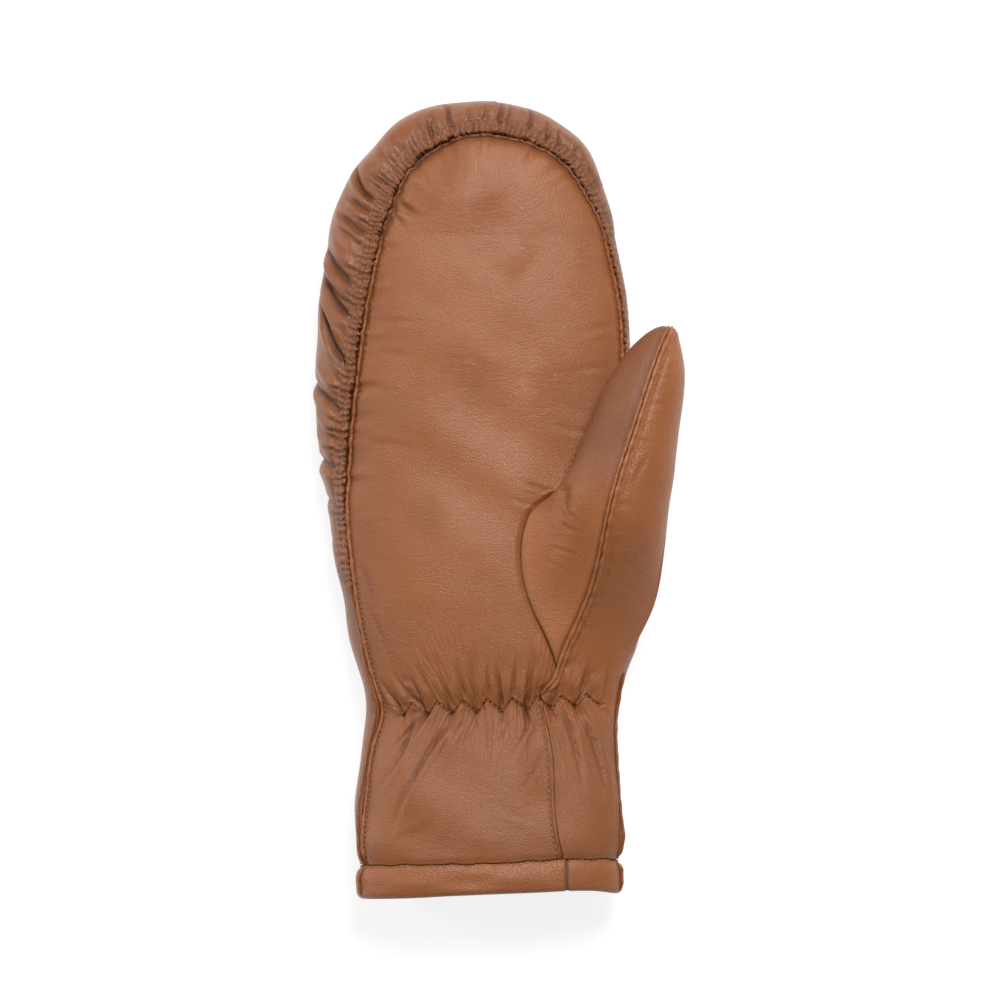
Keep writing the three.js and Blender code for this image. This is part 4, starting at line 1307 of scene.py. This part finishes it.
# %% Outer half of the thumb, and the strip of the cuff below it
STRIP_STEPS = 44
heel = row_stations([HEEL_AT], 1)
heel_edge = float(turn_of(palm_edge(heel)).item())
heel_seam = float(turn_of(heel.seam).item())
front_share = (np.arange(STRIP_STEPS + 1) / STRIP_STEPS) ** 1.25
side_share = np.arange(1, len(set_in)) / (len(set_in) - 1)
outer_at = np.concatenate([np.full(STRIP_STEPS + 1, HEEL_AT), set_in[1:, 0]])
outer_rows = row_stations(outer_at, 1)
outer_start = np.concatenate([
    mix(heel_edge, heel_seam, front_share), turn_of(outer_rows.seam)[STRIP_STEPS + 1:, 0]])


def outer_turn(up):
    return np.concatenate([front_turn(up) * (1 - front_share), (REAR_TURN - 360) * side_share])


outer_flush = np.concatenate([np.ones(STRIP_STEPS + 1), np.maximum(1 - 3 * side_share, 0)])
outer_least = np.concatenate([np.zeros(STRIP_STEPS + 1), 0.1 * smoothstep(side_share, 0, 0.1)])
outer_least[-1] = 0
outer_swell = THUMB_SWELL * np.concatenate([mix(FRONT_SWELL, 1, front_share), 1 - side_share])
outer_bow = FRONT_BOW * np.concatenate([(1 - front_share) ** 2, 0 * side_share])
outer_base = thumb_grid(
    outer_at, outer_start, outer_turn,
    outer_flush, outer_least, outer_swell, outer_bow, -1)
strip_stations = row_stations(CUFF_ROWS[::-1], 1)
strip_turn = mix(turn_of(palm_edge(strip_stations)), turn_of(strip_stations.seam), front_share[None, :])
strip_base = follow_zigzag(bag_point(strip_stations, strip_turn), strip_stations, strip_turn)
print("outer thumb grid:", outer_base.shape[:2], "strip", strip_base.shape[:2])


# %% Thumb relief
THUMB_CREASES = table(
    "x y to_x to_y bend depth wide",
    (21.5, 5.5, 18.5, -8.5, 0.6, 0.9, 1.9),
    (21, -2.0, 27, -7, -0.6, 0.2, 0.6),
    (19, -7.0, 30, -11.5, -0.8, 0.2, 0.6),
    (17, -16, 28, -20, 0.8, 0.25, 0.6),
    (14, -19.5, 25, -26, 0.6, 0.2, 0.5),
    (44, 5, 50, 16, 0.8, 0.3, 1.0),
    (21.5, -57, 28, -50, 0.6, 0.4, 0.9),
)
FRONT_ROW, FRONT_ROW_DEPTH = 0.0031, 0.00025
FRONT_LIP = 0.0005
FRONT_DIP = 0.0005
FRONT_RIPPLE = 0.0001
INNER_TURN_DOWN = 0.0004
# Strength of the painted shade on the inner half's upper part and on the cuff strip below the elastic.
INNER_SHADE = 0.5
STRIP_SHADE = 0.24


def thumb_relief(base, seed):
    x, y = base[..., 0], base[..., 1]
    elastic, painted_shade = elastic_relief(x, y)
    drawn, drawn_dark = hand_creases(THUMB_CREASES, x, y)
    on_top = base[..., 2] > UPPER_SIDE * WRIST_DEPTH
    facing = smoothstep(np.abs(normals_of(base)[..., 2]), 0.2, 0.6)
    height = soft_folds(x, y, seed, THUMB_HILLS) + np.where(on_top, elastic + drawn * facing, 0)
    # Painted shade from the elastic and from the drawn creases, on the upper side only.
    return height, np.where(on_top, np.maximum(painted_shade, 0.2 * drawn_dark * facing), 0)


inner_height, inner_painted_shade = thumb_relief(inner_base, 41)
from_hand = lengths_across(inner_base)
inner_height -= INNER_TURN_DOWN * bump(from_hand, ROUND_DOWN)
# Painted shade along the inner half's seam with the hand, along its dip beside the front ridges, and over
# its upper part.
inner_painted_shade = np.maximum(inner_painted_shade, 0.55 * bump(from_hand, 0.0005))
to_front = lengths_across(inner_base[::-1].swapaxes(0, 1)).swapaxes(0, 1)[::-1]
inner_height -= FRONT_DIP * bump(to_front - 0.001, 0.0014)
inner_painted_shade = np.maximum(inner_painted_shade, 0.5 * bump(to_front - 0.0013, 0.0007))
inner_painted_shade = np.maximum(inner_painted_shade, INNER_SHADE * smoothstep(inner_base[..., 1], -0.005, 0.02))
outer_height, outer_painted_shade = thumb_relief(outer_base, 43)
from_front = lengths_across(outer_base.swapaxes(0, 1)).swapaxes(0, 1)
up_thumb = lengths_across(outer_base)
ripple = waves(up_thumb, (0.0043, 0.0067, 0.0031), 44)
outer_height += FRONT_RIPPLE * bump(from_front - 0.0042, 0.0028) * ripple
outer_height += FRONT_LIP * bump(from_front, 0.0012)
outer_height -= FRONT_ROW_DEPTH * bump(from_front - FRONT_ROW, 0.0006)
strip_height, strip_painted_shade = thumb_relief(strip_base, 43)
# Painted shade: the cuff strip below the elastic is painted darker.
strip_shade = STRIP_SHADE * smoothstep(ELASTIC_Y - strip_base[..., 1], -0.001, 0.008)
strip_painted_shade = np.maximum(strip_painted_shade, strip_shade)
strip_height = strip_height + hem_pull(strip_base[..., 0], strip_base[..., 1])
inner_points = raised(inner_base, inner_height)
outer_points = raised(outer_base, outer_height)
strip_points = placed(strip_base, strip_height)
strip_points[0] = outer_points[:STRIP_STEPS + 1, 0]
outer_patches = [
    (outer_points, outer_painted_shade, *fan_and_pull(outer_base)),
    (strip_points, strip_painted_shade, *fan_and_pull(strip_base)),
]
leather_sheet("thumb_inner", [(inner_points, inner_painted_shade)], gusset_leather, "thumb_inner_panel")
leather_sheet("thumb_outer", outer_patches, thumb_leather, "thumb_outer_panel")

# %% [markdown]
# ## The hem
#
# The cuff's edge is turned in and stitched down, so it is a soft roll. It is a grid that runs round
# the cuff and round the roll's own section, closed both ways. Its allowance reaches a little way up
# inside the cuff, and its lower edge drops towards the middle.

# %% Hem ring
HEM_PROFILE = table(
    "key up deep",
    (0.00, 1.012, 0.1 * HEM_THICKNESS),
    (0.03, 0.985, 0.04 * HEM_THICKNESS),
    (0.06, 0.94, 0.02 * HEM_THICKNESS),
    (0.12, 0.84, -0.3 * HEM_PUFF),
    (0.25, 0.6, -HEM_PUFF),
    (0.38, 0.3, -HEM_PUFF),
    (0.47, 0.09, -0.3 * HEM_PUFF),
    (0.52, 0.0, 0.35 * HEM_THICKNESS),
    (0.57, 0.02, 0.75 * HEM_THICKNESS),
    (0.65, 0.2, HEM_THICKNESS),
    (0.80, 0.7, HEM_THICKNESS),
    (0.88, 1.15, HEM_THICKNESS),
    (0.92, 1.28, 0.9 * HEM_THICKNESS),
    (0.95, 1.15, 0.7 * HEM_THICKNESS),
    (0.98, 1.012, 0.6 * HEM_THICKNESS),
    (1.00, 1.012, 0.1 * HEM_THICKNESS),
)
HEM_DROP = table(
    "x drop",
    (-0.047, 0.0),
    (-0.03, 0.0008),
    (-0.015, 0.0017),
    (0.01, 0.0027),
    (0.03, 0.0031),
    (0.042, 0.0012),
)
HEM_ROUND = 520
HEM_AROUND = 44
HEM_SEAM_X = 0.0222
HEM_SEAM_WIDTH = 0.00055
HEM_SEAM_DEPTH = 0.0005
HEM_NIP = 0.0005
# Strength of the painted shade along the hem's top edge.
HEM_SHADE = 0.45


def hem_point(side, turn, up, deep):
    st = row_stations(up * (HEM_WIDTH - SEAM_GAP) / BODY_LENGTH, side)
    return bag_point(st, turn, -deep[:, None])[:, 0]


hem_keys = np.linspace(0, 1, HEM_AROUND + 1)
hem_up, hem_deep = along(HEM_PROFILE, "up", hem_keys), along(HEM_PROFILE, "deep", hem_keys)
half = np.linspace(0, math.pi, HEM_ROUND // 2 + 1)
ways = [(-1, t) for t in half] + [(1, t) for t in half[::-1][1:]]
hem_base = np.stack([hem_point(side, t, hem_up, hem_deep) for side, t in ways])
drop = along(HEM_DROP, "drop", hem_base[..., 0])
hem_base[..., 1] += drop * (1 - hem_up[None, :])
on_top = hem_base[..., 2] > UPPER_SIDE * CUFF_DEPTH
hem_x, hem_y = hem_base[..., 0], hem_base[..., 1]
hem_seam = on_top * bump(hem_x - HEM_SEAM_X, HEM_SEAM_WIDTH)
# Painted shade along the hem's top edge where it meets the cuff, and in the groove of its front seam.
hem_painted_shade = np.maximum(HEM_SHADE * bump(hem_up[None, :] - 1, 0.03), 0.8 * hem_seam)
hem_soft = soft_folds(hem_x, hem_y, 51, HILLS) * smoothstep(hem_up, 0.1, 0.6)
outer_top = (hem_up > 0.5) * (hem_deep < 0.5 * HEM_THICKNESS)
hem_soft = hem_soft - HEM_SEAM_DEPTH * hem_seam + hem_pull(hem_x, hem_y) * outer_top
nip = at_hem_ends(hem_x) * smoothstep(hem_up[None, :], 0.75, 1) ** 2
hem_base[..., 0] -= HEM_NIP * np.sign(hem_x) * nip
hem_points = raised(hem_base, hem_soft)
hem_points[..., 1] += hem_lift(hem_x, HEM_END + HEM_WIDTH) * smoothstep(hem_up, 0, 0.95)
hem_points[-1] = hem_points[0]
hem_points[:, -1] = hem_points[:, 0]
hem_points[..., 2] = np.maximum(hem_points[..., 2], 0)
leather_sheet("hem", [(hem_points, hem_painted_shade)], hem_leather, "cuff_hem", wall=0)

# %% [markdown]
# ## Raw edges along the seams
#
# The palm's cut edge shows all along its border, smooth on the outer side and crinkled by the
# gathers at the tips and towards the thumb. Below the gathers the back's edge stands beside it. The
# thumb's front seam shows both edges as a small double ridge that runs from the tip down into the
# wrist, and the hem has a short ridge at each of its two ends.

# %% Raw edges
PAST_CROTCH = CROTCH_AT + 0.004
palm_line = line_along(palm_points, to_edge, 0.0010)
palm_side = palm_stations.side[:, 0] < 0
palm_fan = palm_stations.fan[:, 0]
palm_at = palm_stations.at[:, 0]
back_line = line_along(back_points, from_seam, 0.0005)
back_side = back_stations.side[:, 0] < 0
back_row = back_stations.fan[:, 0] == 0
back_at = back_stations.at[:, 0]


def eased(line, passes):
    """A line without its sharp bends."""
    spots, ups, _ = even_path(*line, STRIP_STEP)
    for _ in range(passes):
        spots[1:-1] = (spots[:-2] + 2 * spots[1:-1] + spots[2:]) / 4
    return spots, ups


def part(line, rows):
    """Some of the places and normals of a line."""
    return line[0][rows], line[1][rows]


outer_rows = palm_side & (palm_fan == 0)
tip_rows = (palm_fan > 0) | ~palm_side & (palm_at > 0.98)
thumb_side_rows = ~palm_side & (palm_fan == 0) & (palm_at > PAST_CROTCH)
plain_rows = back_side & back_row & (back_at < GATHERS_FROM + 0.01)
near_rows = ~back_side & back_row & (back_at > PAST_CROTCH)
cuff_rows = ~back_side & back_row & (back_at < HEEL_AT)
for name, line, rows, wide, tall, material, wobble, seed in (
    ("palm_edge_outer", palm_line, outer_rows, 0.0013, 0.0013, palm_leather, 0.0001, 71),
    ("palm_edge_tips", palm_line, tip_rows, 0.0010, 0.0013, edge_leather, 0.00022, 72),
    ("palm_edge_inner", palm_line, thumb_side_rows, 0.0010, 0.0014, palm_leather, 0.00018, 73),
    ("back_edge_outer", back_line, plain_rows, 0.0010, 0.0012, back_leather, 0.0, 74),
    ("back_edge_inner", back_line, near_rows, 0.0010, 0.0014, back_leather, 0.00022, 75),
    ("back_edge_cuff", back_line, cuff_rows, 0.0009, 0.0011, back_leather, 0.0, 76),
):
    edge_strip(name, part(line, rows), wide, tall, material, seed, wobble=wobble)

# %% Ridges of the thumb's front seam, of the hem's ends and of the cuff's front
heel_rows = ~palm_side & (palm_at > 0.3) & (palm_at < HEEL_AT - 0.002)
heel_ups = normals_of(palm_points)[heel_rows, -3][::-1]
heel_spots = palm_points[heel_rows, -1][::-1] + 0.0008 * heel_ups
thumb_ups = normals_of(outer_points)[1, 3:-4]
front_line = np.concatenate([heel_spots, outer_points[0, 3:-4]]), np.concatenate([heel_ups, thumb_ups])
front_line = eased(front_line, 30)
edge_strip("thumb_ridge_inner", front_line, 0.0010, 0.0017, gusset_leather, 81, aside=0.0006)
edge_strip("thumb_ridge_outer", front_line, 0.0016, 0.0018, thumb_leather, 82, aside=-0.0008)
way_sides, way_turns = (np.array(column) for column in zip(*ways))
outer_face = slice(1, HEM_AROUND // 2)
hem_normals = normals_of(hem_points)
for name, side, rows in (("hem_edge_outer", -1, OUTER_SEAM), ("hem_edge_inner", 1, THUMB_SIDE_SEAM)):
    away = np.abs(way_turns - float(turn_of(rows["out"][0])))
    at_row = int(np.argmin(np.where(way_sides == side, away, np.inf)))
    hem_side = hem_points[at_row, outer_face], hem_normals[at_row, outer_face]
    edge_strip(name, hem_side, 0.0012, 0.0013, back_leather, 84)
front_rows = ~palm_side & (palm_at < 0.2955)
cuff_line = line_along(palm_points, to_edge, 0.0008)
edge_strip("cuff_ridge", part(cuff_line, front_rows), 0.0009, 0.0008, palm_leather, 83, lift=0.1)

# %% [markdown]
# ## Stitches
#
# Every seam gets its own row of stitches: two rows along the gathers, one beside each raw seam, the
# elastic's zigzag and the row that holds the hem. They share one mesh for each seam.


# %% Stitch rows
def stitches(name, material, *rows):
    """One mesh of stitches. Each row is (line, pitch, length, thickness, slant)."""
    bm = bmesh.new()
    for row in rows:
        add_stitches(bm, *row)
    new_piece(name, bm, material)


gathered_rows = (lip_length[:, 0] > 0.003) & (lip_length[:, 0] < 0.300)
wide_rows = gathered_rows & (border_fullness(back_stations)[:, 0] > 0.75)
lip_stitches = part(line_along(back_points, from_seam, LIP_ROW), gathered_rows)
band_stitches = part(line_along(back_points, from_seam, BAND), wide_rows)
stitches(
    "border_stitches", thread,
    (lip_stitches, 0.0021, 0.0012, 0.00038, 0.1),
    (band_stitches, 0.0024, 0.0014, 0.00038, 0.1),
)
side_rows = palm_side & (palm_fan == 0) & (palm_at < GATHERS_FROM + 0.02)
in_line = line_along(palm_points, to_edge, STITCH_IN)
stitches("outer_side_stitches", dark_thread, (part(in_line, side_rows), 0.0017, 0.0011, 0.00042, 0.15))
stitches("cuff_stitches", dark_thread, (part(in_line, front_rows), 0.0021, 0.0013, 0.0005, 0.1))
front_side = (field[:STRIP_STEPS, :-6].swapaxes(0, 1) for field in (outer_points, from_front))
thumb_spots, thumb_downs = line_along(*front_side, FRONT_ROW)
stitches("thumb_stitches", dark_thread, ((thumb_spots, -thumb_downs), 0.0017, 0.0010, 0.00032, 0.1))

# %% Zigzag and hem stitches
at_elastic = np.abs(palm_at - ELASTIC_ROW) < 1e-6
zigzag_rows = [
    (palm_points, np.flatnonzero(palm_side & at_elastic)[0]),
    (palm_points, np.flatnonzero(~palm_side & at_elastic)[0]),
    (strip_points, int(np.argmin(np.abs(strip_stations.at[:, 0] - ELASTIC_ROW)))),
]
zigzag_lines = []
for grid, row in zigzag_rows:
    shown = elastic_fade(grid[row, :, 0]) > 0.35
    line = grid[row][shown], normals_of(grid)[row][shown]
    zigzag_lines.append((line, 0.0019, 0.0014, 0.0005, 0.0))
stitches("elastic_stitches", dark_thread, *zigzag_lines)
HEM_STITCH_KEY = 0.045
HEM_SEAM_STITCH_X = HEM_SEAM_X - 0.0022
hem_ring = int(np.argmin(np.abs(hem_keys - HEM_STITCH_KEY)))
hem_line = hem_points[:, hem_ring], hem_normals[:, hem_ring]
away = np.abs(hem_points[:, hem_ring, 0] - HEM_SEAM_STITCH_X)
down_row = int(np.argmin(np.where(on_top[:, hem_ring], away, np.inf)))
down_hem = slice(hem_ring + 2, int(0.46 * HEM_AROUND))
down_line = hem_points[down_row, down_hem], hem_normals[down_row, down_hem]
stitches(
    "hem_stitches", dark_thread,
    (hem_line, 0.0021, 0.0015, 0.0006, 0.25),
    (down_line, 0.0019, 0.0012, 0.00045, 0.1),
)

# %% [markdown]
# ## Floor, light and camera
#
# The mitten lies on a pale floor that glows a little. One large soft light stands on the fingertips'
# side, with a small fill and a low light along the outer edge, and a long lens looks straight down.
# The picture has a plain white ground, so the floor's shadow is faded where the lens sees it.

# %% Floor
FLOOR_SIZE = 4
FLOOR_GLOW = 0.35
SHADOW_FADE = 0.75
bm = bmesh.new()
bmesh.ops.create_grid(bm, x_segments=1, y_segments=1, size=FLOOR_SIZE)
floor_mesh = bpy.data.meshes.new("floor")
bm.to_mesh(floor_mesh)
bm.free()
floor = bpy.data.objects.new("floor", floor_mesh)
bpy.context.scene.collection.objects.link(floor)
floor_finish = Shader("floor_finish")
floor_bsdf = floor_finish.node("ShaderNodeBsdfPrincipled", inputs={
    "Base Color": (0.9, 0.9, 0.9, 1), "Roughness": 0.9,
    "Emission Color": (1, 1, 1, 1), "Emission Strength": FLOOR_GLOW})
paper_white = floor_finish.node("ShaderNodeEmission", inputs={"Color": (1, 1, 1, 1), "Strength": 1.0})
seen_direct = floor_finish.node("ShaderNodeLightPath")
floor_look = floor_finish.node("ShaderNodeMixShader", inputs={
    0: seen_direct * SHADOW_FADE, 1: floor_bsdf, 2: paper_white})
floor_finish.node("ShaderNodeOutputMaterial", inputs={"Surface": floor_look})
floor_mesh.materials.append(floor_finish.material)


# %% Lights
PALM_MIDDLE = Vector((0, 0, 0.02))


def area_light(name, place, size, power):
    """A round light that faces the middle of the palm."""
    lamp = bpy.data.lights.new(name, "AREA")
    lamp.shape = "DISK"
    lamp.size = size
    lamp.energy = power
    light = bpy.data.objects.new(name, lamp)
    bpy.context.scene.collection.objects.link(light)
    way = PALM_MIDDLE - Vector(place)
    light.matrix_world = Matrix.Translation(place) @ way.to_track_quat("-Z", "Y").to_matrix().to_4x4()


area_light("key", (0.22, 0.7, 1.2), size=0.6, power=21.5)
area_light("fill", (0.3, -0.9, 1.4), size=0.9, power=2)
area_light("edge", (-1.3, 0.3, 0.55), size=0.25, power=8)
world = bpy.data.worlds.new("studio")
bpy.context.scene.world = world
world.use_nodes = True
sky = world.node_tree.nodes["Background"]
sky.inputs["Color"].default_value = (1, 1, 1, 1)
sky.inputs["Strength"].default_value = 0.18

# %% Camera
PHOTO_PIXELS = 1000
PIXELS_PER_METRE = 3000
CAMERA_HEIGHT = 2.2
RIM_PLANE = 0.014
SENSOR = 36
camera_data = bpy.data.cameras.new("camera")
camera_data.sensor_width = SENSOR
camera_data.sensor_height = SENSOR
camera_data.lens = SENSOR * (CAMERA_HEIGHT - RIM_PLANE) * PIXELS_PER_METRE / PHOTO_PIXELS
camera_data.clip_end = 20
camera = bpy.data.objects.new("camera", camera_data)
camera.location = (0, 0, CAMERA_HEIGHT)
bpy.context.scene.collection.objects.link(camera)
bpy.context.scene.camera = camera
bpy.context.scene.view_settings.view_transform = "Standard"
